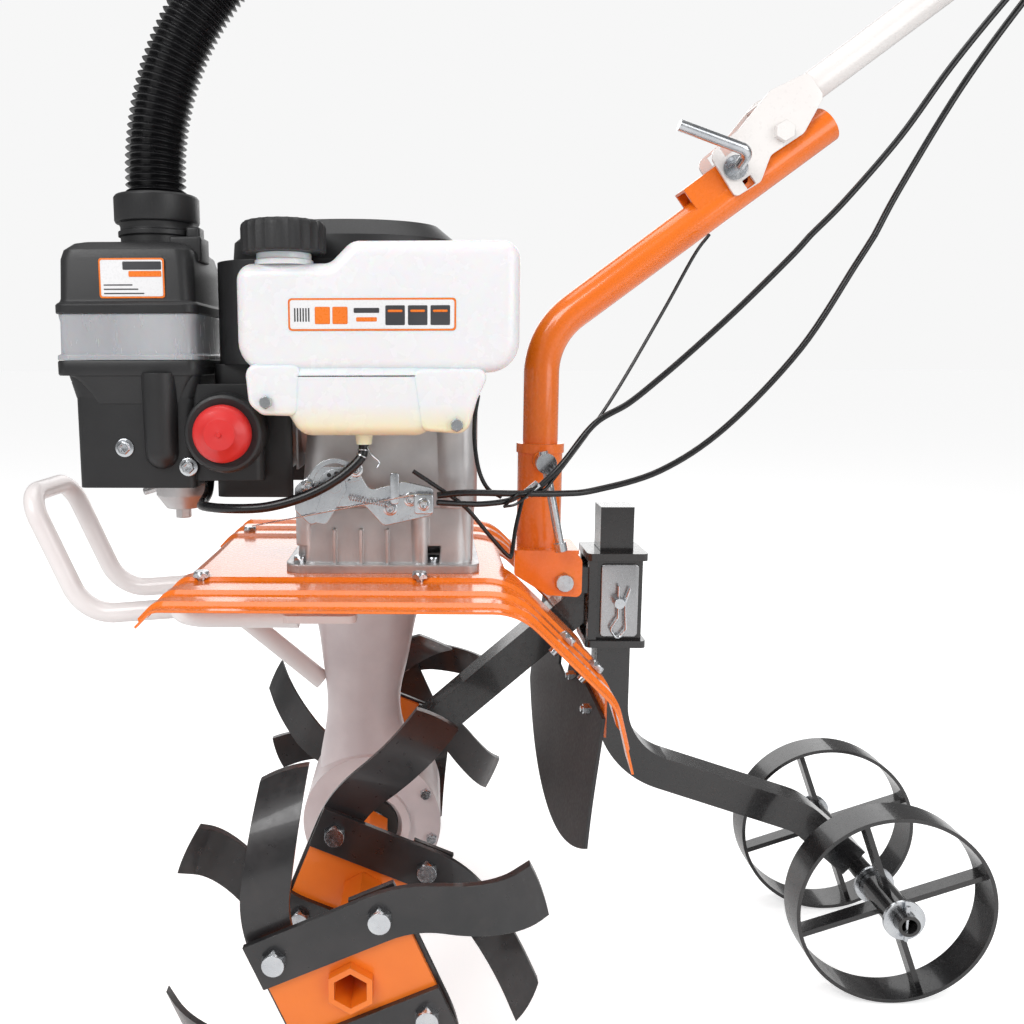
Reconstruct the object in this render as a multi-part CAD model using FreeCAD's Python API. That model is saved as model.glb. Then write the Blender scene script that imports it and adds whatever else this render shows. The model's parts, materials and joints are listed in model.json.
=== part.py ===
"""Mini cultivator: engine-over-gearbox tiller with a hex tine rotor and two tail wheels.

Units are millimetres.  The origin is on the ground under the tine rotor's axis, half way
across the machine.  +X points back to the operator, +Y to the machine's right, +Z up.
"""
import FreeCAD, Part
import math
import os

V = FreeCAD.Vector
os.makedirs("parts", exist_ok=True)

# ---------------------------------------------------------------- driving dimensions
ROTOR_Z = 150.0             # rotor axis above the ground
TINE_TIP_R = 152.0          # tine tips, from the rotor axis
OUTER_PLATE_Y = 275.0       # mid-planes of the tine plates, from the centre
INNER_PLATE_Y = 158.0
PLATE_T = 4.0
BLADE_T = 4.5
BLADE_W = 36.0
BOLT_SQUARE = 84.0          # side of the four-bolt square on each tine plate
HEX_TUBE_AF = 32.0          # tine tube, across its outer flats
HEX_BORE_AF = 23.6
HEX_SHAFT_AF = 23.0         # output shaft, across its flats
TUBE_IN_Y = 52.0            # inner end of each tine tube
TUBE_OUT_Y = 284.0          # outer end of each tine tube
TINE_HOLE_Y = 236.0         # cross hole for an extension tine's pin
TINE_HOLE_R = 5.25

WORM_X = -30.0              # worm and crankshaft axis, a vertical line at Y = 0
WORM_PITCH_R = 7.5
WHEEL_TEETH = 30
GEAR_MODULE = 1.5

DECK_Z = 411.0              # top of the fender's flat part
DECK_HALF_W = 206.0
SHEET = 2.0

WHEEL_X = 492.7
WHEEL_R = 92.5
RIM_W = 31.0
RIM_OUT_Y = 90.0
AXLE_R = 10.0

STEM_X = 164.0
STEM_R = 16.85
SLEEVE_TOP_Z = 523.0
STEM_SLOPE = 36.5           # degrees above the horizontal
PIVOT_X = 375.0             # handlebar tilt bolt
PIVOT_Z = 806.0
HANDLE_R = 14.0

RUN = 0.05                  # radial running clearance
MID_X = 281.5655            # rotor axis to the middle of the machine's length
BAR = 32.0                  # square tail bar


# ---------------------------------------------------------------- shape helpers
def box(x0, x1, y0, y1, z0, z1):
    return Part.makeBox(x1 - x0, y1 - y0, z1 - z0, V(x0, y0, z0))


def rod(a, b, r):
    a, b = V(*a), V(*b)
    return Part.makeCylinder(r, (b - a).Length, a, b - a)


def pipe(a, b, r_out, r_in):
    return rod(a, b, r_out).cut(rod(a, b, r_in))


def fuse(shapes):
    shapes = list(shapes)
    result = shapes[0]
    for shape in shapes[1:]:
        result = result.fuse(shape)
    return result.removeSplitter()


def group(shapes):
    return Part.makeCompound(list(shapes))


def mirror_y(shape):
    return shape.mirror(V(0, 0, 0), V(0, 1, 0))


def unit(v):
    return v * (1.0 / v.Length)


def rounded_edges(points, closed):
    """Edges through 3-D points given as (x, y, z, corner radius)."""
    n = len(points)
    corners = []
    for i, p in enumerate(points):
        here = V(*p[:3])
        r = p[3] if len(p) > 3 else 0.0
        if r <= 0 or (not closed and i in (0, n - 1)):
            corners.append((here, None, here))
            continue
        before = unit(V(*points[i - 1][:3]) - here)
        after = unit(V(*points[(i + 1) % n][:3]) - here)
        half = before.getAngle(after) / 2.0
        reach = r / math.tan(half)
        middle = here + unit(before + after) * (r / math.sin(half) - r)
        corners.append((here + before * reach, middle, here + after * reach))
    edges = []
    for i, (start, middle, end) in enumerate(corners):
        if middle is not None:
            edges.append(Part.Arc(start, middle, end).toShape())
        if i + 1 < n or closed:
            following = corners[(i + 1) % n][0]
            if (following - end).Length > 1e-6:
                edges.append(Part.makeLine(end, following))
    return edges


PLANES = {
    "xy": lambda a, b, c: (a, b, c),
    "xz": lambda a, b, c: (a, c, b),
    "yz": lambda a, b, c: (c, a, b),
}
NORMALS = {"xy": V(0, 0, 1), "xz": V(0, 1, 0), "yz": V(1, 0, 0)}


def outline(plane, at, points):
    """Closed wire in a plane from (a, b[, corner radius]) points."""
    place = PLANES[plane]
    spots = [place(p[0], p[1], at) + ((p[2],) if len(p) > 2 else (0.0,)) for p in points]
    return Part.Wire(rounded_edges(spots, True))


def plate(plane, low, high, points):
    """Flat plate with a rounded outline, from `low` to `high` across its plane."""
    face = Part.Face(outline(plane, low, points))
    return face.extrude(NORMALS[plane] * (high - low))


def rect(a0, a1, b0, b1, r=0.0):
    return [(a0, b0, r), (a1, b0, r), (a1, b1, r), (a0, b1, r)]


def round_path(edges, r):
    """Solid round bar along straight edges and circular arcs."""
    solids = []
    for edge in edges:
        start, end = edge.valueAt(edge.FirstParameter), edge.valueAt(edge.LastParameter)
        ahead = edge.tangentAt(edge.FirstParameter)
        if isinstance(edge.Curve, Part.Circle):
            disc = Part.Face(Part.Wire([Part.makeCircle(r, start, ahead)]))
            centre, axis = edge.Curve.Center, edge.Curve.Axis
            turn = math.degrees(edge.LastParameter - edge.FirstParameter)
            solids.append(disc.revolve(centre, axis, turn))
        else:
            solids.append(Part.makeCylinder(r, (end - start).Length, start, ahead))
    return fuse(solids)


def sweep_round(points, r, r_in=0.0):
    """Round bar or tube along a path with rounded corners."""
    edges = rounded_edges(points, False)
    bar = round_path(edges, r)
    return bar.cut(round_path(edges, r_in)) if r_in else bar


def sweep_flat(points, side, width, thick):
    """Rectangular bar along a planar path: `width` across `side`, `thick` in the path's plane."""
    spine = Part.Wire(rounded_edges(points, False))
    start = V(*points[0][:3])
    ahead = unit(V(*points[1][:3]) - start)
    side = unit(side)
    up = ahead.cross(side)
    a, b = side * (width / 2.0), up * (thick / 2.0)
    corners = [start + a + b, start - a + b, start - a - b, start + a - b, start + a + b]
    return spine.makePipeShell([Part.makePolygon(corners)], True, False)


def loft(sections, ruled=False):
    return Part.makeLoft(sections, True, ruled)


def ring_xy(cx, cy, z, rx, ry):
    """Closed ellipse in a horizontal plane."""
    if abs(rx - ry) < 1e-6:
        return Part.Wire([Part.makeCircle(rx, V(cx, cy, z))])
    if rx > ry:
        curve = Part.Ellipse(V(cx + rx, cy, z), V(cx, cy + ry, z), V(cx, cy, z))
    else:
        curve = Part.Ellipse(V(cx, cy + ry, z), V(cx - rx, cy, z), V(cx, cy, z))
    return Part.Wire([curve.toShape()])


def hex_prism(a, b, across_flats, turn=0.0):
    """Hexagonal prism from a to b; at turn 0 a corner points up (or along +Y if upright)."""
    a, b = V(*a), V(*b)
    axis = unit(b - a)
    up = V(0, 0, 1) if abs(axis.z) < 0.9 else V(0, 1, 0)
    up = unit(up - axis * up.dot(axis))
    side = axis.cross(up)
    r = across_flats / math.sqrt(3.0)
    corners = []
    for k in range(7):
        angle = math.radians(60.0 * k + turn)
        corners.append(a + up * (r * math.cos(angle)) + side * (r * math.sin(angle)))
    return Part.Face(Part.makePolygon(corners)).extrude(b - a)


def hex_bolt(at, direction, length, r, flats, head, nut_at=None):
    """Bolt with its head's seat at `at` and its shank running along `direction`."""
    at, d = V(*at), unit(V(*direction))
    crown = hex_prism(tuple(at), tuple(at - d * head), flats)
    cap = Part.makeCone(flats / 2.0 - 0.4, flats / 2.0 + 1.6, head, at - d * head, d)
    shank = Part.makeCylinder(r, length + head / 2.0, at - d * (head / 2.0), d)
    body = crown.common(cap).fuse(shank)
    if nut_at is not None:
        seat = at + d * nut_at
        body = body.fuse(hex_prism(tuple(seat), tuple(seat + d * (head + 1.5)), flats))
    return body.removeSplitter()


def save(name, shape):
    """Exports a part with the origin at the middle of the machine's length."""
    placed = shape.copy()
    placed.translate(V(-MID_X, 0, 0))
    placed.exportStep("parts/%s.step" % name)


# ---------------------------------------------------------------- deck and front frame
BEADS = ((90.0, 112.0), (136.0, 158.0), (176.0, 194.0))
BEAD_H = 3.0
SLOPE_X = 126.0
SLOPE_END = (204.0, 334.0)
EAR_END = (217.0, 281.0)
SLOPE_BOLT_X = (168.0, 192.0)
FLAP_X = 197.0
FLAP_BOLT_Y = (-150.0, -68.0, 68.0, 150.0)
FLAP_LEAN = 0.12


def deck_section():
    """Corrugated sheet across the machine, at the front lip."""
    top = [(-DECK_HALF_W, 0.0)]
    for sign in (-1, 1):
        for low, high in (reversed(BEADS) if sign < 0 else BEADS):
            a, b = sorted((sign * low, sign * high))
            top += [(a, 0.0), (a + 4.0, BEAD_H), (b - 4.0, BEAD_H), (b, 0.0)]
    top.append((DECK_HALF_W, 0.0))
    under = [(y, z - SHEET) for y, z in reversed(top)]
    return top + under


def fender_plate():
    lip = V(-173.0, 0, DECK_Z - 13.5)
    path = [(lip.x, 0, lip.z), (-160.0, 0, DECK_Z, 14.0), (SLOPE_X, 0, DECK_Z, 50.0),
            (SLOPE_END[0], 0, SLOPE_END[1], 40.0), (EAR_END[0], 0, EAR_END[1])]
    spine = Part.Wire(rounded_edges(path, False))
    ahead = unit(V(-160.0, 0, DECK_Z) - lip)
    up = ahead.cross(V(0, -1, 0))
    if up.z < 0:
        up = up * -1.0
    points = [lip + V(0, 1, 0) * y + up * z for y, z in deck_section()]
    sheet = spine.makePipeShell([Part.makePolygon(points + points[:1])], True, False)
    centre_hole = rod((WORM_X, 0, 390), (WORM_X, 0, 430), 46.0)
    notch = box(128.0, 240.0, -34.0, 34.0, 250.0, 430.0)
    between_ears = plate("yz", 150.0, 240.0, [(-206.5, 280.0), (-150.0, 331.0), (150.0, 331.0),
                                              (206.5, 280.0), (206.5, 200.0), (-206.5, 200.0)])
    sheet = sheet.cut(fuse([centre_hole, notch])).cut(between_ears)
    for y in (-108.0, 108.0):
        for x in (-144.0, 48.0):
            sheet = sheet.cut(rod((x, y, 395), (x, y, 425), 4.3))
    return sheet


def flap_bracket():
    """Angle strip under the rear slope that carries the flap."""
    lips = []
    for y0, y1 in ((-181.0, -36.0), (36.0, 181.0)):
        lip = plate("xz", y0, y1, [(FLAP_X + 0.5, 300.0), (FLAP_X + 2.5, 300.0),
                                   (FLAP_X + 2.5, 336.4), (FLAP_X + 0.5, 338.4)])
        for y in FLAP_BOLT_Y:
            if y0 < y < y1:
                lip = lip.cut(rod((FLAP_X - 5, y, 312.0), (FLAP_X + 8, y, 312.0), 2.7))
        lips.append(lip)
    return lips


def soil_flap():
    """Rubber sheet behind the tines, a little deeper at mid-width."""
    sheet = plate("yz", 0.0, 3.0, [(-192.0, 322.0, 10.0), (192.0, 322.0, 10.0), (200.0, 214.0, 14.0),
                                   (90.0, 172.0, 60.0), (0.0, 160.0, 60.0), (-90.0, 172.0, 60.0),
                                   (-200.0, 214.0, 14.0)])
    sheet = sheet.cut(box(-5, 5, -26.0, 26.0, 290.0, 330.0))
    for y in FLAP_BOLT_Y:
        sheet = sheet.cut(rod((-2, y, 312.0), (6, y, 312.0), 3.4))
    sheet.translate(V(FLAP_X - 4.2, 0, 0))
    lean = math.degrees(math.atan(FLAP_LEAN))
    sheet.rotate(V(FLAP_X, 0, 316.0), V(0, 1, 0), lean)
    return sheet


RAIL_Y = 100.0
RAIL_Z = 377.0
RAIL_R = 11.0
LEG_Y = 50.0
LEG_R = 9.5
CROSS_X = -172.0


def front_bumper():
    """Welded front frame: a U of tube under the deck, the bumper loop and the brace."""
    u_tube = sweep_round([(-60, -RAIL_Y, RAIL_Z), (CROSS_X, -RAIL_Y, RAIL_Z, 30),
                          (CROSS_X, RAIL_Y, RAIL_Z, 30), (-60, RAIL_Y, RAIL_Z)], RAIL_R)
    tabs = []
    for y in (-RAIL_Y, RAIL_Y):
        tab = plate("xy", RAIL_Z - 3.5, RAIL_Z + 3.5, rect(-74.0, -8.0, y - 14.0, y + 14.0, 8.0))
        tabs.append(tab.cut(rod((-21, y, 360), (-21, y, 395), 4.3)))
    loop = sweep_round([(CROSS_X, -LEG_Y, 370), (-272, -LEG_Y, 362, 42), (-322, -LEG_Y, 478, 26),
                        (-322, LEG_Y, 478, 26), (-272, LEG_Y, 362, 42), (CROSS_X, LEG_Y, 370)], LEG_R)
    brace = sweep_round([(CROSS_X + 4, 0, RAIL_Z - 6), (-138, 0, 352, 60), (-52, 0, 280.4)], LEG_R)
    return fuse([u_tube, loop, brace] + tabs)


# ---------------------------------------------------------------- gearbox
CASE_R = 68.0
CASE_HALF_Y = 42.0
OUT_BEARING_R = 27.5
OUT_SHAFT_R = 15.0
INPUT_R = 6.0
INPUT_BEARING_R = 13.0
NECK = ((200.0, -5.0, 50.0, 40.0), (235.0, -9.0, 40.0, 33.0), (262.0, -10.0, 37.0, 31.0),
        (300.0, -8.5, 42.0, 34.0), (343.0, -7.0, 49.0, 42.0), (380.0, -8.0, 62.0, 58.0),
        (400.0, -9.0, 80.0, 76.0))
CASE_BOLTS = [(61.0 * math.cos(math.radians(a)), ROTOR_Z + 61.0 * math.sin(math.radians(a)))
              for a in (-150, -105, -60, -15, 30)]


def gearbox_outer():
    drum = rod((0, -CASE_HALF_Y, ROTOR_Z), (0, CASE_HALF_Y, ROTOR_Z), CASE_R)
    nose = pipe((0, -48, ROTOR_Z), (0, 48, ROTOR_Z), 38.0, 30.0)
    neck = loft([ring_xy(cx, 0, z, rx, ry) for z, cx, rx, ry in NECK])
    root = loft([ring_xy(-4.0, 0, 150.0, 52.0, 41.0), ring_xy(-5.0, 0, 200.0, 50.0, 40.0)])
    bell = rod((WORM_X, 0, 366), (WORM_X, 0, 404), DRUM_R + 8.0)
    flange = plate("xy", 398.0, DECK_Z - SHEET, rect(-92.0, 74.0, -78.0, 78.0, 24.0))
    return fuse([drum, nose, root, neck, bell, flange])


def gearbox_case():
    outer = gearbox_outer()
    wheel_room = rod((0, -13, ROTOR_Z), (0, 13, ROTOR_Z), 28.0)
    shaft_way = rod((0, -60, ROTOR_Z), (0, 60, ROTOR_Z), OUT_SHAFT_R + 3.0)
    rooms = [wheel_room, shaft_way]
    for y0, y1 in ((-36.0, -22.0), (22.0, 36.0)):
        rooms.append(rod((0, y0, ROTOR_Z), (0, y1, ROTOR_Z), OUT_BEARING_R))
    for y0, y1 in ((-60.0, -36.0), (36.0, 60.0)):
        rooms.append(rod((0, y0, ROTOR_Z), (0, y1, ROTOR_Z), 26.0))
    rooms.append(rod((WORM_X, 0, 116), (WORM_X, 0, 420), 11.0))
    rooms.append(rod((WORM_X, 0, 104), (WORM_X, 0, 116), INPUT_BEARING_R))
    rooms.append(rod((WORM_X, 0, 352), (WORM_X, 0, 364), INPUT_BEARING_R))
    rooms.append(rod((WORM_X, 0, 364), (WORM_X, 0, 420), DRUM_R + 3.0))
    for x, z in CASE_BOLTS:
        rooms.append(rod((x, -60, z), (x, 60, z), 3.3))
    for x, y in ENGINE_BOLTS:
        rooms.append(rod((x, y, 390), (x, y, 420), 4.3))
    case = outer.cut(fuse(rooms))
    left = case.common(box(-200, 200, -200, 0, 0, 500))
    right = case.common(box(-200, 200, 0, 200, 0, 500))
    return left, right


def gearbox_bolts():
    bolts = []
    for x, z in CASE_BOLTS:
        bolts.append(hex_bolt((x, -CASE_HALF_Y, z), (0, 1, 0), 94.0, 3.0, 10.0, 4.0, 84.0))
    return group(bolts)


def gearbox_bearings():
    rings = []
    for y0, y1 in ((-35.9, -22.1), (22.1, 35.9)):
        rings.append(pipe((0, y0, ROTOR_Z), (0, y1, ROTOR_Z), OUT_BEARING_R - 0.03, OUT_SHAFT_R + RUN))
    for z0, z1 in ((104.1, 115.9), (352.1, 363.9)):
        rings.append(pipe((WORM_X, 0, z0), (WORM_X, 0, z1), INPUT_BEARING_R - 0.03, INPUT_R + RUN))
    return group(rings)


def output_seals():
    return group(pipe((0, s * 37.0, ROTOR_Z), (0, s * 47.5, ROTOR_Z), 25.9, OUT_SHAFT_R + RUN)
                 for s in (-1, 1))


# ---------------------------------------------------------------- rotor
def output_shaft():
    core = rod((0, -49.0, ROTOR_Z), (0, 49.0, ROTOR_Z), OUT_SHAFT_R)
    ends = [hex_prism((0, s * 48.0, ROTOR_Z), (0, s * 118.0, ROTOR_Z), HEX_SHAFT_AF) for s in (-1, 1)]
    shaft = fuse([core] + ends)
    for s in (-1, 1):
        shaft = shaft.cut(rod((-20, s * 84.0, ROTOR_Z), (20, s * 84.0, ROTOR_Z), 4.1))
    return shaft


def worm_wheel():
    """Straight-cut wheel, thin-toothed so that the worm's lead angle clears it."""
    pitch_r = GEAR_MODULE * WHEEL_TEETH / 2.0
    tip_r = pitch_r + 1.2
    root_r = pitch_r - 1.9
    points = []
    for k in range(WHEEL_TEETH):
        base = 360.0 * k / WHEEL_TEETH
        for r, half in ((root_r, 2.9), (tip_r, 0.9)):
            points.append((r, base - half))
        for r, half in ((tip_r, 0.9), (root_r, 2.9)):
            points.append((r, base + half))
    corners = [(r * math.cos(math.radians(a)), ROTOR_Z + r * math.sin(math.radians(a)))
               for r, a in points]
    blank = plate("xz", -6.0, 6.0, corners)
    hub = pipe((0, -12.0, ROTOR_Z), (0, 12.0, ROTOR_Z), 18.5, OUT_SHAFT_R)
    return fuse([blank.cut(rod((0, -8, ROTOR_Z), (0, 8, ROTOR_Z), OUT_SHAFT_R)), hub])


def tine_tubes():
    tubes = []
    for s in (-1, 1):
        a, b = (0, s * TUBE_IN_Y, ROTOR_Z), (0, s * TUBE_OUT_Y, ROTOR_Z)
        tube = hex_prism(a, b, HEX_TUBE_AF).cut(hex_prism(a, b, HEX_BORE_AF))
        for y, r in ((84.0, 4.1), (TINE_HOLE_Y, TINE_HOLE_R)):
            tube = tube.cut(rod((-30, s * y, ROTOR_Z), (30, s * y, ROTOR_Z), r))
        tubes.append(tube)
    return group(tubes)


PLATE_SPOTS = ((OUTER_PLATE_Y, 24.0), (INNER_PLATE_Y, -22.0))


def rotor_place(shape, y, turn):
    """Put a shape built round the origin on the rotor axis, turned in the XZ plane."""
    shape.rotate(V(0, 0, 0), V(0, 1, 0), -turn)
    shape.translate(V(0, y, ROTOR_Z))
    return shape


def tine_plate(y, turn):
    half = BOLT_SQUARE / 2.0 + 15.0
    sheet = plate("xz", -PLATE_T / 2, PLATE_T / 2, rect(-half, half, -half, half, 12.0))
    for a in (-1, 1):
        for b in (-1, 1):
            x, z = a * BOLT_SQUARE / 2, b * BOLT_SQUARE / 2
            sheet = sheet.cut(rod((x, -5, z), (x, 5, z), 5.2))
    sheet = rotor_place(sheet, y, turn)
    return sheet.cut(hex_prism((0, y - 10, ROTOR_Z), (0, y + 10, ROTOR_Z), HEX_TUBE_AF + 0.02))


BLADE_SWEEP = 31.0          # degrees that a blade trails in its own plane
BLADE_TURN_R = 90.0
BLADE_BEND = 55.0           # degrees that its tip bends sideways
BLADE_BEND_R = 70.0


def tine_blade(bend_side):
    """Blade on the top side of a plate, root at -X; bend_side is the sign of Y its tip goes to."""
    root = -BOLT_SQUARE / 2.0 - 17.0
    lift = BOLT_SQUARE / 2.0
    corner = lift + BLADE_TURN_R * math.tan(math.radians(BLADE_SWEEP / 2))
    run = 130.0
    far = (corner + run * math.cos(math.radians(BLADE_SWEEP)),
           lift - run * math.sin(math.radians(BLADE_SWEEP)))
    band = sweep_flat([(root, 0, lift), (corner, 0, lift, BLADE_TURN_R), (far[0], 0, far[1])],
                      V(0, 1, 0), 260.0, BLADE_W)
    bend_at = 84.0 + BLADE_BEND_R * math.tan(math.radians(BLADE_BEND / 2))
    tail_end = 46.0 + BLADE_BEND_R * math.tan(math.radians(BLADE_BEND / 2))
    tip = (bend_at + tail_end * math.cos(math.radians(BLADE_BEND)),
           tail_end * math.sin(math.radians(BLADE_BEND)))
    curl = sweep_flat([(root, 0, 0), (bend_at, 0, 0, BLADE_BEND_R), (tip[0], bend_side * tip[1], 0)],
                      V(0, 0, 1), 400.0, BLADE_T)
    blade = band.common(curl).common(rod((0, -150, 0), (0, 150, 0), TINE_TIP_R))
    for x in (-BOLT_SQUARE / 2, BOLT_SQUARE / 2):
        blade = blade.cut(rod((x, -5, lift), (x, 5, lift), 5.2))
    return blade


def tine_blades(plate_y, plate_turn, side, out_bend, in_bend):
    """Four blades of one plate: two on its outboard face and two on its inboard face."""
    blades = []
    seat = PLATE_T / 2 + BLADE_T / 2
    for quarter in range(4):
        outboard = quarter % 2 == 0
        bend = out_bend if outboard else in_bend
        blade = tine_blade(bend * side)
        y = side * (plate_y + (seat if outboard else -seat))
        blades.append(rotor_place(blade, y, plate_turn + 90.0 * quarter))
    return blades


def tine_bolts():
    bolts = []
    for side in (-1, 1):
        for plate_y, turn in PLATE_SPOTS:
            for k in range(4):
                angle = math.radians(45.0 + 90.0 * k + turn)
                r = BOLT_SQUARE / math.sqrt(2.0)
                x, z = r * math.cos(angle), ROTOR_Z + r * math.sin(angle)
                stack = PLATE_T / 2 + BLADE_T
                bolts.append(hex_bolt((x, side * (plate_y + stack), z), (0, -side, 0),
                                      2 * stack + 11.0, 5.0, 17.0, 6.4, 2 * stack))
        bolts.append(hex_bolt((-16.0, side * 84.0, ROTOR_Z), (1, 0, 0), 42.0, 4.0, 13.0, 5.3, 32.0))
    return group(bolts)


# ---------------------------------------------------------------- worm and clutch
def worm_shaft():
    """Single-start worm on the input shaft; its groove meshes with the wheel at rest."""
    lead = math.pi * GEAR_MODULE
    core_r = WORM_PITCH_R - 1.9
    tip_r = WORM_PITCH_R + 1.2
    z0 = ROTOR_Z - 14.0
    turns = 6
    height = turns * lead
    # the wheel's tooth nearest the worm points along -X at rest, so a groove faces it there
    phase_z = ROTOR_Z - lead / 2.0 - (turns // 2) * lead
    helix = Part.makeHelix(lead, height, core_r - 0.4)
    profile = Part.makePolygon([V(core_r - 0.4, 0, -0.95), V(tip_r, 0, -0.35), V(tip_r, 0, 0.35),
                                V(core_r - 0.4, 0, 0.95), V(core_r - 0.4, 0, -0.95)])
    thread = Part.Wire(helix).makePipeShell([profile], True, True)
    thread.translate(V(WORM_X, 0, phase_z))
    core = rod((WORM_X, 0, z0 - 6), (WORM_X, 0, ROTOR_Z + 20), core_r)
    shaft = fuse([rod((WORM_X, 0, 104.5), (WORM_X, 0, z0 - 6), INPUT_R), core,
                  rod((WORM_X, 0, ROTOR_Z + 20), (WORM_X, 0, 372), INPUT_R)])
    return shaft.fuse(thread)


DRUM_R = 40.0


def clutch_drum():
    cup = pipe((WORM_X, 0, 370), (WORM_X, 0, 400), DRUM_R, DRUM_R - 2.5)
    floor = pipe((WORM_X, 0, 368), (WORM_X, 0, 371), DRUM_R, INPUT_R)
    hub = pipe((WORM_X, 0, 366), (WORM_X, 0, 376), 12.0, INPUT_R)
    return fuse([cup, floor, hub])


CRANK_R = 10.0
FLYWHEEL_R = 70.0


def crankshaft():
    main = rod((WORM_X, 0, 380), (WORM_X, 0, 640), CRANK_R)
    webs = [rod((WORM_X, 0, z), (WORM_X, 0, z + 8), 30.0) for z in (488, 516)]
    taper = rod((WORM_X, 0, 640), (WORM_X, 0, 668), 7.0)
    return fuse([main, taper] + webs)


def flywheel():
    disc = pipe((WORM_X, 0, 608), (WORM_X, 0, 620), FLYWHEEL_R, CRANK_R)
    boss = pipe((WORM_X, 0, 604), (WORM_X, 0, 630), 20.0, CRANK_R)
    vanes = []
    for k in range(12):
        vane = box(FLYWHEEL_R - 26, FLYWHEEL_R - 2, -1.5, 1.5, 619, 640)
        vane.rotate(V(0, 0, 0), V(0, 0, 1), 30.0 * k)
        vane.translate(V(WORM_X, 0, 0))
        vanes.append(vane)
    return fuse([disc, boss] + vanes)


def clutch_shoes():
    """Centrifugal shoes on their carrier, clear of the drum at rest."""
    carrier = pipe((WORM_X, 0, 382), (WORM_X, 0, 396), 15.0, CRANK_R)
    shoes = pipe((WORM_X, 0, 380), (WORM_X, 0, 398), 35.5, 24.0)
    for k in range(3):
        gap = box(20, 40, -3, 3, 370, 410)
        gap.rotate(V(0, 0, 0), V(0, 0, 1), 120.0 * k)
        gap.translate(V(WORM_X, 0, 0))
        shoes = shoes.cut(gap)
    arms = []
    for k in range(3):
        arm = box(12, 27, -4, 4, 384, 394)
        arm.rotate(V(0, 0, 0), V(0, 0, 1), 60.0 + 120.0 * k)
        arm.translate(V(WORM_X, 0, 0))
        arms.append(arm)
    return fuse([carrier] + arms + [shoes])


# ---------------------------------------------------------------- hitch and tail wheels
BAR_X = 238.0
LUG_BOLT = (186.0, 391.0)
HITCH_PIN_Z = 372.0
STRUT_W = 32.0
STRUT_TOP = (212.0, 372.0)
STRUT_LOW = (52.0, 230.0)


def support_strut():
    top, low = STRUT_TOP, STRUT_LOW
    bar = sweep_flat([(top[0], 0, top[1]), (low[0], 0, low[1])], V(0, 1, 0), STRUT_W, STRUT_W)
    bore = sweep_flat([(top[0] - 6, 0, top[1] - 5.3), (low[0] + 4, 0, low[1] + 3.5)], V(0, 1, 0),
                      STRUT_W - 5, STRUT_W - 5)
    bar = bar.cut(bore).cut(box(207.9, 260, -40, 40, 300, 460))
    return bar


def hitch_saddle():
    """U-shaped seat with the steering sleeve welded on it."""
    cheek = plate("xz", 25.0, 29.0, [(138, 398, 4), (170, 378, 6), (203, 376, 6), (203, 412, 8),
                                     (196, 422), (146, 422), (138, 418, 4)])
    cheek = cheek.cut(rod((LUG_BOLT[0], 0, LUG_BOLT[1]), (LUG_BOLT[0], 60, LUG_BOLT[1]), 5.2))
    roof = plate("xy", 418.0, 422.0, rect(138, 200, -29, 29, 3))
    sleeve = pipe((STEM_X, 0, 421), (STEM_X, 0, SLEEVE_TOP_Z), 21.5, STEM_R + RUN)
    collar = pipe((STEM_X, 0, SLEEVE_TOP_Z - 9), (STEM_X, 0, SLEEVE_TOP_Z), 23.0, STEM_R + RUN)
    boss = rod((STEM_X, -20, 508), (STEM_X, -31, 508), 10.0)
    boss = boss.cut(rod((STEM_X, 0, 508), (STEM_X, -40, 508), 5.1))
    sleeve = sleeve.cut(rod((STEM_X, 0, 508), (STEM_X, -40, 508), 5.1))
    collar = collar.cut(rod((STEM_X, 0, 508), (STEM_X, -40, 508), 5.1))
    boss = boss.cut(rod((STEM_X, 0, 421), (STEM_X, 0, 560), STEM_R + RUN))
    return fuse([cheek, mirror_y(cheek), roof, sleeve, collar, boss])


def hitch_receiver():
    tube = box(BAR_X - 24, BAR_X + 24, -24, 24, 330, 417)
    rims = [plate("xy", z, z + 7, rect(BAR_X - 30, BAR_X + 28, -30, 30, 5)) for z in (326.0, 412.0)]
    ribs = [box(BAR_X - 28, BAR_X - 20, s * 24 - 4, s * 24 + 4, 330, 415) for s in (-1, 1)]
    lug = box(176, BAR_X - 20, -24.8, 24.8, 379, 405)
    body = fuse([tube, lug] + rims + ribs)
    body = body.cut(box(BAR_X - 16.3, BAR_X + 16.3, -16.3, 16.3, 300, 440))
    body = body.cut(rod((BAR_X, -60, HITCH_PIN_Z), (BAR_X, 60, HITCH_PIN_Z), 5.2))
    body = body.cut(rod((LUG_BOLT[0], -60, LUG_BOLT[1]), (LUG_BOLT[0], 60, LUG_BOLT[1]), 5.2))
    return body.cut(box(170, 190.0, -16.2, 16.2, 370, 410))


def hitch_pin():
    shank = rod((BAR_X, -38, HITCH_PIN_Z), (BAR_X, 33, HITCH_PIN_Z), 5.0)
    shank = shank.cut(rod((BAR_X, -31, HITCH_PIN_Z - 10), (BAR_X, -31, HITCH_PIN_Z + 10), 1.7))
    head = rod((BAR_X, 24.2, HITCH_PIN_Z), (BAR_X, 30, HITCH_PIN_Z), 9.0)
    y = -31.0
    clip = sweep_round([(BAR_X, y, HITCH_PIN_Z + 16), (BAR_X, y, HITCH_PIN_Z - 16, 0),
                        (BAR_X - 7, y, HITCH_PIN_Z - 27, 4), (BAR_X, y, HITCH_PIN_Z - 38, 4),
                        (BAR_X + 8, y, HITCH_PIN_Z - 27, 4), (BAR_X + 7, y, HITCH_PIN_Z - 12, 4),
                        (BAR_X + 6.6, y, HITCH_PIN_Z, 0), (BAR_X + 11, y, HITCH_PIN_Z + 14)], 1.25)
    return group([fuse([shank, head]), clip])


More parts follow.
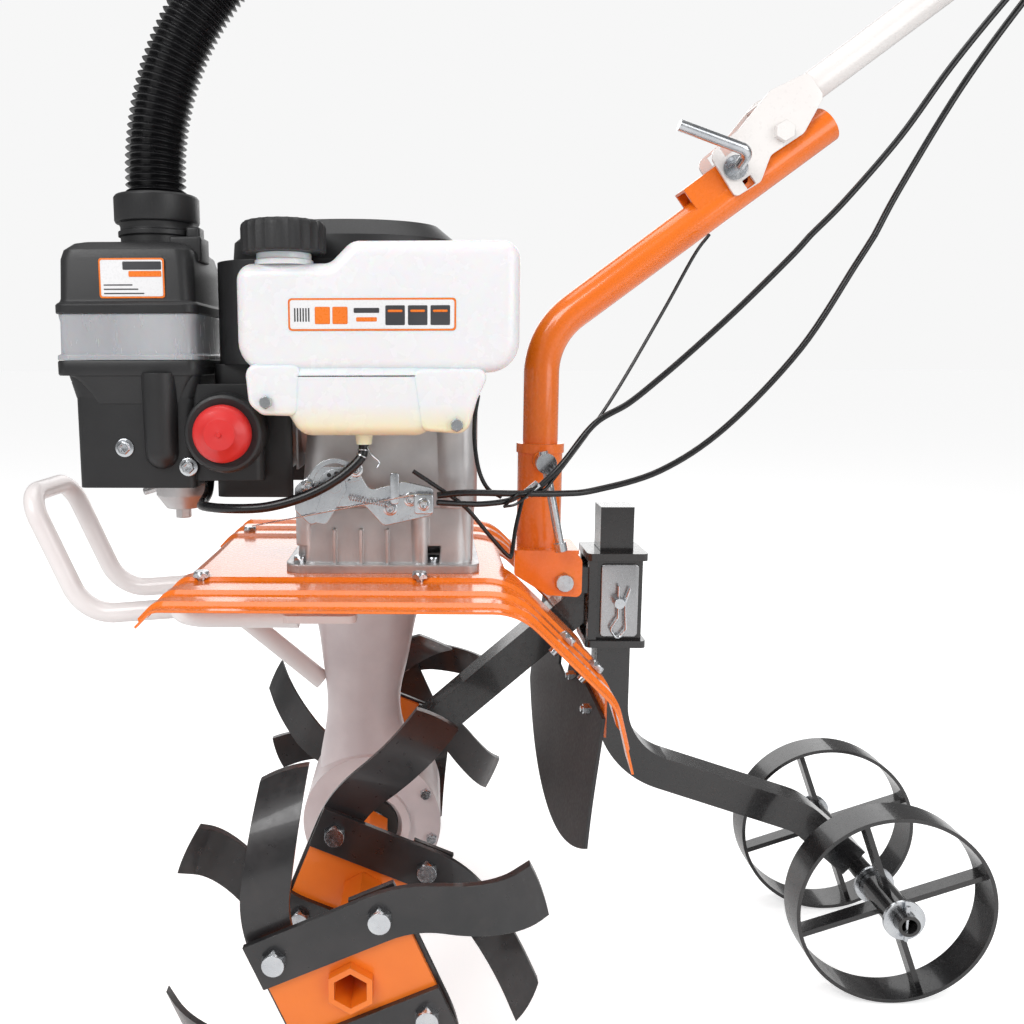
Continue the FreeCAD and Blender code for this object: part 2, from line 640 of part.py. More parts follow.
def tail_arm():
    path = [(BAR_X, 0, 462), (BAR_X, 0, 208, 75), (432, 0, 145, 45), (WHEEL_X - 6, 0, WHEEL_R + 5)]
    bar = sweep_flat(path, V(0, 1, 0), BAR, BAR)
    hole = sweep_flat(path, V(0, 1, 0), BAR - 6, BAR - 6)
    axle = rod((WHEEL_X, -112, WHEEL_R), (WHEEL_X, 112, WHEEL_R), AXLE_R)
    bar = bar.cut(hole).fuse(axle)
    bar = bar.cut(rod((WHEEL_X, -120, WHEEL_R), (WHEEL_X, 120, WHEEL_R), AXLE_R - 3.0))
    for y in (-107.0, 107.0):
        bar = bar.cut(rod((WHEEL_X, y, 60), (WHEEL_X, y, 130), 1.9))
    cap = box(BAR_X - 15, BAR_X + 15, -15, 15, 458, 462)
    return bar.fuse(cap).cut(rod((BAR_X, -30, HITCH_PIN_Z), (BAR_X, 30, HITCH_PIN_Z), 5.2))


def axle_washers():
    parts = []
    for s in (-1, 1):
        for y in (44.0, 100.5):
            ends = ((WHEEL_X, s * y, WHEEL_R), (WHEEL_X, s * (y + 2.5), WHEEL_R))
            parts.append(pipe(ends[0], ends[1], 19.0, AXLE_R + 0.2))
        parts.append(rod((WHEEL_X, s * 107.0, WHEEL_R - 17), (WHEEL_X, s * 107.0, WHEEL_R + 17), 1.8))
    return group(parts)


SPOKES = 4


def tail_wheel(side):
    y0, y1 = side * (RIM_OUT_Y - RIM_W), side * RIM_OUT_Y
    rim = pipe((WHEEL_X, y0, WHEEL_R), (WHEEL_X, y1, WHEEL_R), WHEEL_R, WHEEL_R - 3.5)
    hub = pipe((WHEEL_X, side * 47.0, WHEEL_R), (WHEEL_X, side * 100.0, WHEEL_R), 14.5, AXLE_R + RUN)
    middle = (y0 + y1) / 2.0
    spokes = []
    for k in range(SPOKES):
        spoke = box(13.5, WHEEL_R - 3.0, -2.5, 2.5, 0, 14.0)
        spoke.rotate(V(0, 0, 0), V(1, 0, 0), 90)
        spoke.translate(V(0, 7.0 + middle, 0))
        spoke.rotate(V(0, middle, 0), V(0, 1, 0), -20.0 - 90.0 * k)
        spoke.translate(V(WHEEL_X, 0, WHEEL_R))
        spokes.append(spoke)
    wheel = fuse([rim, hub] + spokes)
    return wheel.cut(rod((WHEEL_X, side * 40, WHEEL_R), (WHEEL_X, side * 110, WHEEL_R), AXLE_R + RUN))


# ---------------------------------------------------------------- stem and handlebar
SLOPE = V(math.cos(math.radians(STEM_SLOPE)), 0, math.sin(math.radians(STEM_SLOPE)))
LIFT = V(-SLOPE.z, 0, SLOPE.x)
PIVOT = V(PIVOT_X, 0, PIVOT_Z)
STEM_DROP = 18.5            # stem centreline below the tilt bolt, square to the slope
INDEX_R = 52.0              # lock bolt, from the tilt bolt
TILT_UP = 12.0
TILT_DOWN = 6.0


def on_slope(s, t, y=0.0):
    spot = PIVOT + SLOPE * s + LIFT * t
    return (spot.x, y, spot.z)


def stem_tube():
    """Bent steering tube with a short square rail on its end for the handlebar bracket."""
    corner_s = (STEM_X - (PIVOT_X + LIFT.x * -STEM_DROP)) / SLOPE.x
    path = [(STEM_X, 0, 430), on_slope(corner_s, -STEM_DROP) + (72.0,), on_slope(44.0, -STEM_DROP)]
    tube = sweep_round(path, STEM_R)
    hollow = sweep_round(path, STEM_R - 3.0)
    rail = slope_block(-98.0, 12.0, -15.0, 15.0, -16.0, 12.0)
    rail = rail.cut(slope_block(-99.0, 2.0, -12.5, 12.5, -13.5, 9.5))
    bolt_hole = rod(on_slope(0, 0, -30), on_slope(0, 0, 30), 5.05)
    return tube.fuse(rail).cut(hollow).cut(arc_slot(INDEX_R, 5.7)).cut(bolt_hole)


def slope_block(s0, s1, y0, y1, t0, t1):
    """Block in the slope's own directions."""
    corners = [on_slope(s0, t0, y0), on_slope(s1, t0, y0), on_slope(s1, t1, y0), on_slope(s0, t1, y0)]
    face = Part.Face(Part.makePolygon([V(*c) for c in corners + corners[:1]]))
    return face.extrude(V(0, y1 - y0, 0))


def arc_slot(radius, half):
    """Slot round the tilt bolt that the lock bolt moves in, through both walls."""
    inner, outer = -(radius + half), -(radius - half)
    face = Part.Face(Part.makePolygon([V(*on_slope(s, 0, y)) for s, y in (
        (inner, -30), (outer, -30), (outer, 30), (inner, 30), (inner, -30))]))
    face.rotate(PIVOT, V(0, 1, 0), TILT_DOWN + 1.0)
    sector = face.revolve(PIVOT, V(0, -1, 0), TILT_UP + TILT_DOWN + 2.0)
    ends = []
    for angle in (TILT_DOWN + 1.0, -TILT_UP - 1.0):
        end = rod(on_slope(-radius, 0, -30), on_slope(-radius, 0, 30), half)
        end.rotate(PIVOT, V(0, 1, 0), angle)
        ends.append(end)
    return fuse([sector] + ends)


def handlebar_bracket():
    """Two cheeks and a bent top web that carry the handle tube."""
    profile = [(-66.0, -22.0, 5), (-40.0, -24.0, 6), (-20.0, -10.0, 8), (14.0, -12.0, 10),
               (46.0, 4.0, 8), (46.0, 30.0, 6), (10.0, 37.0, 14), (-30.0, 26.0, 12), (-64.0, 24.0, 8)]
    spots = [on_slope(s, t, 18.0) + (r,) for s, t, r in profile]
    cheek = Part.Face(Part.Wire(rounded_edges(spots, True))).extrude(V(0, 3.0, 0))
    index = [math.radians(180.0 + a) for a in (-20.0, 20.0)]
    for angle in index:
        s, t = INDEX_R * math.cos(angle), INDEX_R * math.sin(angle)
        cheek = cheek.cut(slope_block(s - 4.5, s + 4.5, 10, 30, t - 4.5, t + 4.5))
    cheek = cheek.cut(rod(on_slope(-INDEX_R, 0, 0), on_slope(-INDEX_R, 0, 40), 5.1))
    web = slope_block(-2.0, 34.0, -18.0, 18.0, 31.2, 34.2)
    web = web.common(Part.Face(Part.Wire(rounded_edges(
        [on_slope(s, t, -30.0) + (r,) for s, t, r in profile], True))).extrude(V(0, 60, 0)))
    bolt = fuse([rod(on_slope(0, 0, -24), on_slope(0, 0, 24), 5.0),
                 hex_prism(on_slope(0, 0, 21), on_slope(0, 0, 27), 16.0),
                 hex_prism(on_slope(0, 0, -21), on_slope(0, 0, -27), 16.0)])
    return fuse([cheek, mirror_y(cheek), web, bolt])


HANDLE_T = 17.0
HANDLE_JOIN_S = 330.0
GRIP_HALF_Y = 235.0


def handle_join():
    return V(*on_slope(HANDLE_JOIN_S, HANDLE_T))


def handlebar_tube():
    """Centre tube and the U bar that carries the grips."""
    centre = sweep_round([on_slope(19.0, HANDLE_T), on_slope(HANDLE_JOIN_S, HANDLE_T)], HANDLE_R,
                         HANDLE_R - 2.0)
    join = handle_join()
    back = join + V(255.0, 0, 95.0)
    u_bar = sweep_round([(back.x, -GRIP_HALF_Y, back.z), (join.x + 30, -GRIP_HALF_Y, join.z + 12, 60),
                         (join.x + 6, -70, join.z, 60), (join.x + 6, 70, join.z, 60),
                         (join.x + 30, GRIP_HALF_Y, join.z + 12, 60),
                         (back.x, GRIP_HALF_Y, back.z)], 12.5)
    bracket_room = slope_block(10.0, 60.0, 17.95, 30.0, -30.0, 50.0)
    body = fuse([centre, u_bar])
    return body.cut(fuse([bracket_room, mirror_y(bracket_room)]))


def grip_line():
    join = handle_join()
    start = V(join.x + 30, 0, join.z + 12)
    end = V(join.x + 255.0, 0, join.z + 95.0)
    return start, end, unit(end - start)


def along_grip(distance, side, lift=0.0, out=0.0):
    """Point measured back from the rear end of a grip."""
    start, end, d = grip_line()
    up = V(-d.z, 0, d.x)
    spot = end - d * distance + up * lift
    return (spot.x, side * (GRIP_HALF_Y + out), spot.z)


def grips():
    parts = []
    for s in (-1, 1):
        sleeve = rod(along_grip(118.0, s), along_grip(-4.0, s), 16.5)
        bore = rod(along_grip(120.0, s), along_grip(0.0, s), 12.5 + 0.02)
        flange = pipe(along_grip(122.0, s), along_grip(117.9, s), 17.5, 12.5 + 0.02)
        parts.append(fuse([sleeve.cut(bore), flange]))
    return group(parts)


LEVER_AT = 137.0            # lever pivot, measured back from the grip's rear end
LEVER_DROP = 25.0


def lever_mount(side):
    """Clamp ring and lug of a hand lever."""
    clamp = rod(along_grip(148.0, side), along_grip(126.0, side), 17.0)
    eye = along_grip(LEVER_AT, side, -LEVER_DROP)
    lug = rod((eye[0], eye[1] - 7, eye[2]), (eye[0], eye[1] + 7, eye[2]), 8.0)
    neck = sweep_flat([along_grip(LEVER_AT, side, -8.0), along_grip(LEVER_AT, side, -LEVER_DROP)],
                      V(0, 1, 0), 14.0, 14.0)
    body = fuse([clamp, lug, neck]).cut(rod(along_grip(160.0, side), along_grip(120.0, side), 12.52))
    return body.cut(rod((eye[0], eye[1] - 20, eye[2]), (eye[0], eye[1] + 20, eye[2]), 3.05))


SWITCH_AT = 163.0


def switch_housing():
    """Stop switch's clamp and boss, on the right arm of the U bar."""
    side = 1
    clamp = rod(along_grip(SWITCH_AT + 13, side), along_grip(SWITCH_AT - 13, side), 17.0)
    top = along_grip(SWITCH_AT, side, 18.0)
    boss = rod((top[0], top[1] - 11, top[2]), (top[0], top[1] + 11, top[2]), 11.0)
    body = fuse([clamp, boss]).cut(rod(along_grip(220.0, side), along_grip(150.0, side), 12.52))
    pocket = rod((top[0], top[1] - 7.2, top[2] + 5), (top[0], top[1] + 7.2, top[2] + 5), 8.2)
    return body.cut(pocket)


def stop_switch():
    """Rocker that turns in its housing's round pocket."""
    top = along_grip(SWITCH_AT, 1, 18.0)
    barrel = rod((top[0], top[1] - 7, top[2] + 5), (top[0], top[1] + 7, top[2] + 5), 8.1)
    ridge = box(top[0] - 2, top[0] + 2, top[1] - 6, top[1] + 6, top[2] + 11, top[2] + 15.5)
    return fuse([barrel, ridge])


def lever_mounts():
    return group([lever_mount(-1), lever_mount(1), switch_housing()])


def hand_lever(side, reach, drop):
    """Forked lever under a grip: cheeks beside the lug, and a bar that runs back."""
    eye = V(*along_grip(LEVER_AT, side, -LEVER_DROP))
    d = grip_line()[2]
    pin = rod((eye.x, eye.y - 11, eye.z), (eye.x, eye.y + 11, eye.z), 3.0)
    parts = [pin]
    for y in (-9.0, 9.0):
        start = V(eye.x, eye.y + y, eye.z)
        parts.append(rod(tuple(start - V(0, 1.7, 0)), tuple(start + V(0, 1.7, 0)), 7.0))
        parts.append(sweep_flat([tuple(start), tuple(start + d * 18.0)], V(0, 1, 0), 3.4, 9.0))
    bar = [tuple(eye + d * 12.0), along_grip(LEVER_AT - 60.0, side, -drop) + (60.0,),
           along_grip(LEVER_AT - reach, side, -drop - 4.0)]
    parts.append(sweep_flat(bar, V(0, 1, 0), 21.4, 5.0))
    return fuse(parts)


# ---------------------------------------------------------------- engine
SUMP_TOP = 470.0
BLOCK_TOP = 598.0
ENGINE_BOLTS = [(x, y) for x in (-62.0, 60.0) for y in (-66.0, 66.0)]


def rounded_box(x0, x1, y0, y1, z0, z1, r):
    return plate("xy", z0, z1, rect(x0, x1, y0, y1, r))


def tapered_box(low, high, r):
    """Loft between two rounded rectangles given as (x0, x1, y0, y1, z)."""
    wires = [outline("xy", s[4], rect(s[0], s[1], s[2], s[3], r)) for s in (low, high)]
    return loft(wires, True)


def engine_sump():
    flange = rounded_box(-75, 102, -82, 82, DECK_Z, DECK_Z + 8, 14)
    body = tapered_box((-66, 96, -74, 74, DECK_Z + 8), (-62, 98, -70, 70, SUMP_TOP), 18)
    parts = [flange, body]
    for x, y in ((-58, -66), (48, -70), (88, -62), (-58, 66), (48, 70), (88, 62)):
        parts.append(rod((x, y, DECK_Z + 8), (x, y, SUMP_TOP), 8.0))
    for x in (-30, -6, 18):
        parts.append(box(x - 1.5, x + 1.5, -78, 78, DECK_Z + 8, DECK_Z + 40))
    body = fuse(parts)
    body = body.cut(rod((WORM_X, 0, DECK_Z - 1), (WORM_X, 0, SUMP_TOP + 1), CRANK_R + RUN))
    body = body.cut(rounded_box(-50, 84, -58, 58, DECK_Z + 14, SUMP_TOP + 1, 12).cut(
        rod((WORM_X, 0, 400), (WORM_X, 0, SUMP_TOP + 2), 18.0)))
    for x, y in ENGINE_BOLTS:
        body = body.cut(rod((x, y, 400), (x, y, DECK_Z + 9), 4.3))
        body = body.cut(rod((x, y, DECK_Z + 8), (x, y, DECK_Z + 24), 9.5))
    return body


def engine_block():
    """Crankcase and finned cylinder in one casting; the cylinder points forward."""
    case = tapered_box((-62, 98, -70, 70, SUMP_TOP), (-52, 92, -64, 64, BLOCK_TOP), 18)
    column = rod((80, -56, SUMP_TOP), (80, -56, BLOCK_TOP - 20), 20.0)
    barrel = rod((-56, 0, 545), (-126, 0, 545), 32.0)
    fins = [box(x, x + 2.2, -46, 46, 502, 590) for x in range(-124, -62, 8)]
    body = fuse([case, column, barrel] + fins)
    body = body.cut(rod((WORM_X, 0, 484), (WORM_X, 0, 528), 34.0))
    body = body.cut(rod((WORM_X, 0, SUMP_TOP - 1), (WORM_X, 0, BLOCK_TOP + 1), CRANK_R + RUN))
    return body.cut(rod((-62, 0, 545), (-119, 0, 545), 21.0))


def fan_shroud():
    """Black cowl over the flywheel, with a front part round the cylinder."""
    top = rounded_box(-138, 92, -80, 92, BLOCK_TOP + 1, 690, 46)
    top = top.cut(rounded_box(-135, 89, -77, 89, BLOCK_TOP, 687, 43))
    top = top.cut(rod((WORM_X, 6, 680), (WORM_X, 6, 700), 62.0))
    front = rounded_box(-140, -66, -62, 62, 478, BLOCK_TOP + 1.5, 10)
    front = front.cut(rounded_box(-137, -60, -59, 59, 470, 600, 8))
    front = front.cut(rod((-150, -10, 530), (-130, -10, 530), 20.0))
    return fuse([top, front])


def recoil_cover():
    dome = loft([ring_xy(-24, 6, 690, 108, 80), ring_xy(-24, 6, 712, 106, 78),
                 ring_xy(-24, 6, 727, 88, 62)], True)
    room = loft([ring_xy(-24, 6, 689.9, 104, 76), ring_xy(-24, 6, 711, 102, 74),
                 ring_xy(-24, 6, 723.5, 85, 59)], True)
    shell = dome.cut(room)
    slots = []
    for k in range(-9, 10):
        slot = box(-1.6, 1.6, 26, 57, 705, 740)
        slot.rotate(V(0, 0, 0), V(0, 0, 1), 18.9 * k)
        slot.translate(V(-24, 6, 0))
        slots.append(slot)
    shell = shell.cut(group(slots))
    return shell.cut(rod((20, 60, 704), (20, 110, 704), 5.0))


def starter_handle():
    grip = plate("xz", 90.0, 103.0, rect(-12, 52, 695, 713, 8.5))
    stem = rod((20, 84.5, 704), (20, 92, 704), 4.6)
    return fuse([grip, stem])


def muffler():
    can = rounded_box(-38, 84, 84, 142, 486, 572, 16)
    can = can.cut(rounded_box(-36, 82, 86, 140, 488, 570, 14))
    stub = rod((20, 68.0, 530), (20, 86, 530), 13.0)
    spout = rod((83, 120, 505), (98, 120, 505), 9.0)
    guard = rounded_box(-42, 88, 146, 148, 482, 576, 0.9)
    posts = [rod((x, 141, z), (x, 146.5, z), 5) for x in (-20, 66) for z in (500, 558)]
    body = fuse([can, stub, spout, guard] + posts)
    body = body.cut(rod((20, 60, 530), (20, 90, 530), 9.0))
    return body.cut(rod((78, 120, 505), (100, 120, 505), 7.0))


def engine_block_envelope():
    return tapered_box((-62, 98, -70, 70, SUMP_TOP), (-52, 92, -64, 64, BLOCK_TOP), 18)


CARB_X = -184.0
CARB_Y = -14.0


def carburettor():
    body = rounded_box(CARB_X - 26, CARB_X + 26, CARB_Y - 24, CARB_Y + 24, 492, 552, 8)
    intake = rod((CARB_X + 20, CARB_Y + 4, 530), (-127, CARB_Y + 4, 530), 15.0)
    bowl = loft([ring_xy(CARB_X, CARB_Y, 492, 26, 26), ring_xy(CARB_X, CARB_Y, 474, 25, 25),
                 ring_xy(CARB_X, CARB_Y, 461, 16, 16)], True)
    nut = hex_prism((CARB_X, CARB_Y, 461), (CARB_X, CARB_Y, 451), 13.0)
    drain = rod((CARB_X - 24, CARB_Y, 480), (CARB_X - 38, CARB_Y, 476), 3.5)
    return fuse([body, intake, bowl, nut, drain])


BOX_Y0, BOX_Y1 = -92.0, 24.0
PRIMER = (-122.0, 540.0)


def air_filter_base():
    """Lower air box: filter tray, side cover in front of the carburettor and primer boss."""
    tray = tapered_box((-258, -150, BOX_Y0 + 4, BOX_Y1 - 2, 570), (-266, -142, BOX_Y0, BOX_Y1, 603), 10)
    tray = tray.cut(rounded_box(-262, -148, BOX_Y0 + 4, BOX_Y1 - 4, 584, 604, 8))
    side = rounded_box(-257, -152, BOX_Y0 + 4, -46, 490, 571, 8)
    side = side.cut(rounded_box(-253, -156, BOX_Y0 + 8, -40, 480, 566, 6))
    cheek = rounded_box(-156, -92, BOX_Y0 + 8, -66, 496, 582, 8)
    boss = rod((PRIMER[0], -70, PRIMER[1]), (PRIMER[0], -104, PRIMER[1]), 33.0)
    body = fuse([tray, side, cheek, boss])
    body = body.cut(rod((PRIMER[0], -76, PRIMER[1]), (PRIMER[0], -110, PRIMER[1]), 28.6))
    return body.cut(rod((CARB_X, CARB_Y, 552.1), (CARB_X, CARB_Y, 590), 14.0))


def primer_bulb():
    flange = rod((PRIMER[0], -94, PRIMER[1]), (PRIMER[0], -98, PRIMER[1]), 28.5)
    side = rod((PRIMER[0], -98, PRIMER[1]), (PRIMER[0], -112, PRIMER[1]), 25.0)
    dome = Part.makeCone(25.0, 14.0, 9.0, V(PRIMER[0], -112, PRIMER[1]), V(0, -1, 0))
    return fuse([flange, side, dome])


def air_filter_ring():
    outer = tapered_box((-272, -145, BOX_Y0 - 2, BOX_Y1 + 2, 603.05), (-270, -146, BOX_Y0, BOX_Y1, 643), 12)
    return outer.cut(rounded_box(-264, -152, BOX_Y0 + 6, BOX_Y1 - 6, 600, 650, 8))


def air_filter_cap():
    lower = tapered_box((-270, -146, BOX_Y0, BOX_Y1, 643.05), (-266, -150, BOX_Y0 + 3, BOX_Y1 - 3, 706), 12)
    hollow = tapered_box((-265, -151, BOX_Y0 + 5, BOX_Y1 - 5, 643),
                         (-261, -155, BOX_Y0 + 8, BOX_Y1 - 8, 700), 9)
    collar = rod((HOSE_X, HOSE_Y, 700), (HOSE_X, HOSE_Y, 724), 33.0)
    band = rod((HOSE_X, HOSE_Y, 724), (HOSE_X, HOSE_Y, 750), 38.0)
    body = fuse([lower.cut(hollow), collar, band])
    return body.cut(rod((HOSE_X, HOSE_Y, 690), (HOSE_X, HOSE_Y, 760), 28.0))


def filter_element():
    return rounded_box(-262, -154, BOX_Y0 + 8, BOX_Y1 - 8, 604, 642, 8)


HOSE_X = -193.0
HOSE_Y = -34.0
HOSE_R = 27.0
HOSE_BEND = 260.0


def snorkel_hose():
    """Intake hose that stands up from the air box, arches back and ends in a pre-cleaner."""
    path = [(HOSE_X, HOSE_Y, 712), (HOSE_X, HOSE_Y, 765 + HOSE_BEND, HOSE_BEND),
            (HOSE_X + HOSE_BEND + 30, HOSE_Y, 765 + HOSE_BEND)]
    hose = sweep_round(path, HOSE_R, HOSE_R - 3.0)
    end = HOSE_X + HOSE_BEND + 30
    cup = pipe((end - 14, HOSE_Y, 765 + HOSE_BEND), (end + 46, HOSE_Y, 765 + HOSE_BEND), 37.0, 33.0)
    back = pipe((end - 14, HOSE_Y, 765 + HOSE_BEND), (end - 9, HOSE_Y, 765 + HOSE_BEND), 37.0, HOSE_R)
    grid = rod((end + 40, HOSE_Y, 765 + HOSE_BEND), (end + 44, HOSE_Y, 765 + HOSE_BEND), 33.0)
    return fuse([hose, cup, back, grid])


TANK_Y0, TANK_Y1 = -128.0, -84.0
CAP = (-66.0, -106.0)
TANK_SCREWS = ((-80.0, 568.0), (79.0, 549.0))


def tank_outline(inset):
    """Tank seen from the left: a low shoulder under the cap, lobes at the lower corners."""
    i = inset
    return [(-104 + i, 682 - i, 14), (-104 + i, 590 + i, 26), (-84 + i, 556 + i, 16),
            (-56 + i, 539 + i, 18), (56 - i, 539 + i, 20), (92 - i, 541 + i, 16),
            (101 - i, 578 + i, 14), (131 - i, 594 + i, 30), (131 - i, 700 - i, 16),
            (-8 + i, 700 - i, 14), (-26 + i, 682 - i, 10)]


def fuel_tank():
    shell = plate("xz", TANK_Y0, TANK_Y1, tank_outline(0.0))
    rims = [e for e in shell.Edges if abs(e.BoundBox.YLength) < 0.01]
    shell = shell.makeFillet(6.0, rims)
    shell = shell.cut(plate("xz", TANK_Y0 + 3, TANK_Y1 - 3, tank_outline(3.0)))
    neck = rod((CAP[0], CAP[1], 680), (CAP[0], CAP[1], 700), 20.0)
    nipple = rod((0, -106, 542), (0, -106, 530), 7.0)
    tank = fuse([shell, neck, nipple]).cut(rod((CAP[0], CAP[1], 676), (CAP[0], CAP[1], 701), 17.0))
    tank = tank.cut(rod((0, -106, 528), (0, -106, 546), 3.0))
    for x, z in TANK_SCREWS:
        tank = tank.fuse(rod((x, TANK_Y0 + 3, z), (x, TANK_Y1, z), 11.0).common(
            plate("xz", TANK_Y0, TANK_Y1, tank_outline(0.5))))
        tank = tank.cut(rod((x, -140, z), (x, -70, z), 3.4))
    return tank


def fuel_cap():
    body = rod((CAP[0], CAP[1], 691), (CAP[0], CAP[1], 714), 34.5)
    ribs = []
    for k in range(24):
        rib = box(33.5, 36.0, -1.6, 1.6, 693, 711)
        rib.rotate(V(0, 0, 0), V(0, 0, 1), 15.0 * k)
        rib.translate(V(CAP[0], CAP[1], 0))
        ribs.append(rib)
    lid = Part.makeCone(34.5, 31.0, 3.0, V(CAP[0], CAP[1], 714), V(0, 0, 1))
    body = fuse([body, lid] + ribs)
    return body.cut(rod((CAP[0], CAP[1], 690), (CAP[0], CAP[1], 700.1), 20.05))


def fuel_line():
    return sweep_round([(0, -106, 529.0), (-1, -107, 512, 14), (-72, -114, 484, 40), (-122, -100, 472, 26),
                        (-152, -66, 468, 16), (-153.5, -26, 470, 12), (-153.5, -24, 498)], 4.0)


def control_plate():
    """Throttle bracket bolted beside the sump."""
    sheet = plate("xz", -99.0, -97.0, [(-62, 470, 4), (-40, 448, 8), (20, 452, 6), (60, 468, 6),
                                      (60, 492, 5), (30, 500, 6), (6, 512, 8), (-40, 512, 12),
                                      (-62, 494, 8)])
    sheet = sheet.cut(rod((-26, -110, 494), (-26, -90, 494), 3.05))
    posts = [rod((x, -97, z), (x, -70.5, z), 5.0) for x, z in ((-46, 478), (40, 482))]
    clamp = box(46, 58, -108, -99, 472, 486)
    return fuse([sheet, clamp] + posts).cut(engine_block_envelope())


def throttle_arm():
    arm = plate("xz", -102.0, -99.5, [(-34, 500, 5), (-46, 462, 4), (-34, 460, 4), (-16, 490, 6),
                                      (-18, 502, 5)])
    pin = rod((-26, -105, 494), (-26, -90, 494), 3.0)
    head = rod((-26, -105, 494), (-26, -102, 494), 6.0)
    return fuse([arm, pin, head])


def clamp_screw():
    """T-handled screw that pinches the steering tube."""
    y0 = -STEM_R - 0.6
    screw = rod((STEM_X, y0, 508), (STEM_X, -40, 508), 5.0)
    head = rod((STEM_X, -38, 508), (STEM_X, -52, 508), 9.5)
    bar = rod((STEM_X - 2.5, -45, 519), (STEM_X + 15, -45, 430), 4.0)
    tip = rod((STEM_X + 14.4, -45, 433), (STEM_X + 16, -45, 425), 6.0)
    return fuse([screw, head, bar, tip])


def lock_lever():
    """L-shaped zinc lever that locks the tilt."""
    at = on_slope(-INDEX_R, 0, 0)
    shank = rod((at[0], 26, at[2]), (at[0], -36, at[2]), 5.0)
    nut = hex_prism((at[0], 21.1, at[2]), (at[0], 29, at[2]), 16.0)
    washer = pipe((at[0], -21.1, at[2]), (at[0], -23.5, at[2]), 11.0, 4.9)
    arm = sweep_round([(at[0], -34, at[2]), (at[0] + 4, -46, at[2] + 9, 8),
                       (at[0] - 60, -52, at[2] + 30)], 5.0)
    return fuse([shank, nut, washer, arm])


def chassis_bolts():
    bolts = []
    for x, y in ENGINE_BOLTS:
        bolts.append(hex_bolt((x, y, DECK_Z + 8), (0, 0, -1), 24.0, 4.0, 13.0, 5.3))
    for y in (-108.0, 108.0):
        for x in (-144.0, 48.0):
            bolts.append(hex_bolt((x, y, DECK_Z + BEAD_H), (0, 0, -1), 14.0, 4.0, 13.0, 5.3))
    for y in (-150.0, 150.0):
        for x in SLOPE_BOLT_X:
            z = slope_z(x)
            n = V(77.0, 0, 78.0)
            seat = V(x, y, z) + unit(n) * BEAD_H
            bolts.append(hex_bolt(tuple(seat), (-n.x, 0, -n.z), 16.0, 4.0, 13.0, 5.3))
    for y in FLAP_BOLT_Y:
        bolts.append(hex_bolt((FLAP_X + 2.5, y, 312.0), (-1, 0, 0), 16.0, 2.6, 8.0, 4.0, 8.4))
    bolts.append(hex_bolt((LUG_BOLT[0], -29.0, LUG_BOLT[1]), (0, 1, 0), 70.0, 5.0, 17.0, 6.4, 58.0))
    for x, z in TANK_SCREWS:
        bolts.append(hex_bolt((x, TANK_Y0, z), (0, 1, 0), 50.0, 3.2, 10.0, 4.5))
    return group(bolts)


def slope_z(x):
    return DECK_Z + (x - SLOPE_X) * (SLOPE_END[1] - DECK_Z) / (SLOPE_END[0] - SLOPE_X)


# ---------------------------------------------------------------- control cables
CABLE_R = 2.6


def cable_set(runs):
    return group(sweep_round(list(run), CABLE_R) for run in runs)


def lower_cables():
    """Throttle and drive cables, from the engine to just before the steering sleeve."""
    return cable_set((((62, -103, 479), (94, -100, 470, 40), (120, -88, 474)),
                      ((104, -62, 508), (116, -66, 490, 10), (126, -70, 474))))


def stem_cables():
    return cable_set((((152, -72, 493), (245, -66, 560, 80), (352, -56, 700, 120), (386, -50, 755)),
                      ((152, -62, 475), (262, -60, 490, 90), (392, -54, 620, 160), (433, -50, 706))))


def upper_cables():
    join = handle_join()
    return cable_set((((394, -50, 770), (470, -44, 860, 120), (join.x - 40, -40, join.z - 26, 120),
                       (join.x + 10, -34, join.z - 24)),
                      ((442, -50, 726), (492, -48, 850, 150), (join.x - 50, -46, join.z - 40, 120),
                       (join.x + 6, -42, join.z - 30))))


# ---------------------------------------------------------------- assembly
def trim_deck(sheet):
    for x, y in ENGINE_BOLTS:
        sheet = sheet.cut(rod((x, y, 395), (x, y, 425), 4.3))
    for y in (-150.0, 150.0):
        for x in SLOPE_BOLT_X:
            n = V(77.0, 0, 78.0)
            centre = V(x, y, slope_z(x))
            sheet = sheet.cut(rod(tuple(centre - n * 0.2), tuple(centre + n * 0.2), 4.3))
    return sheet


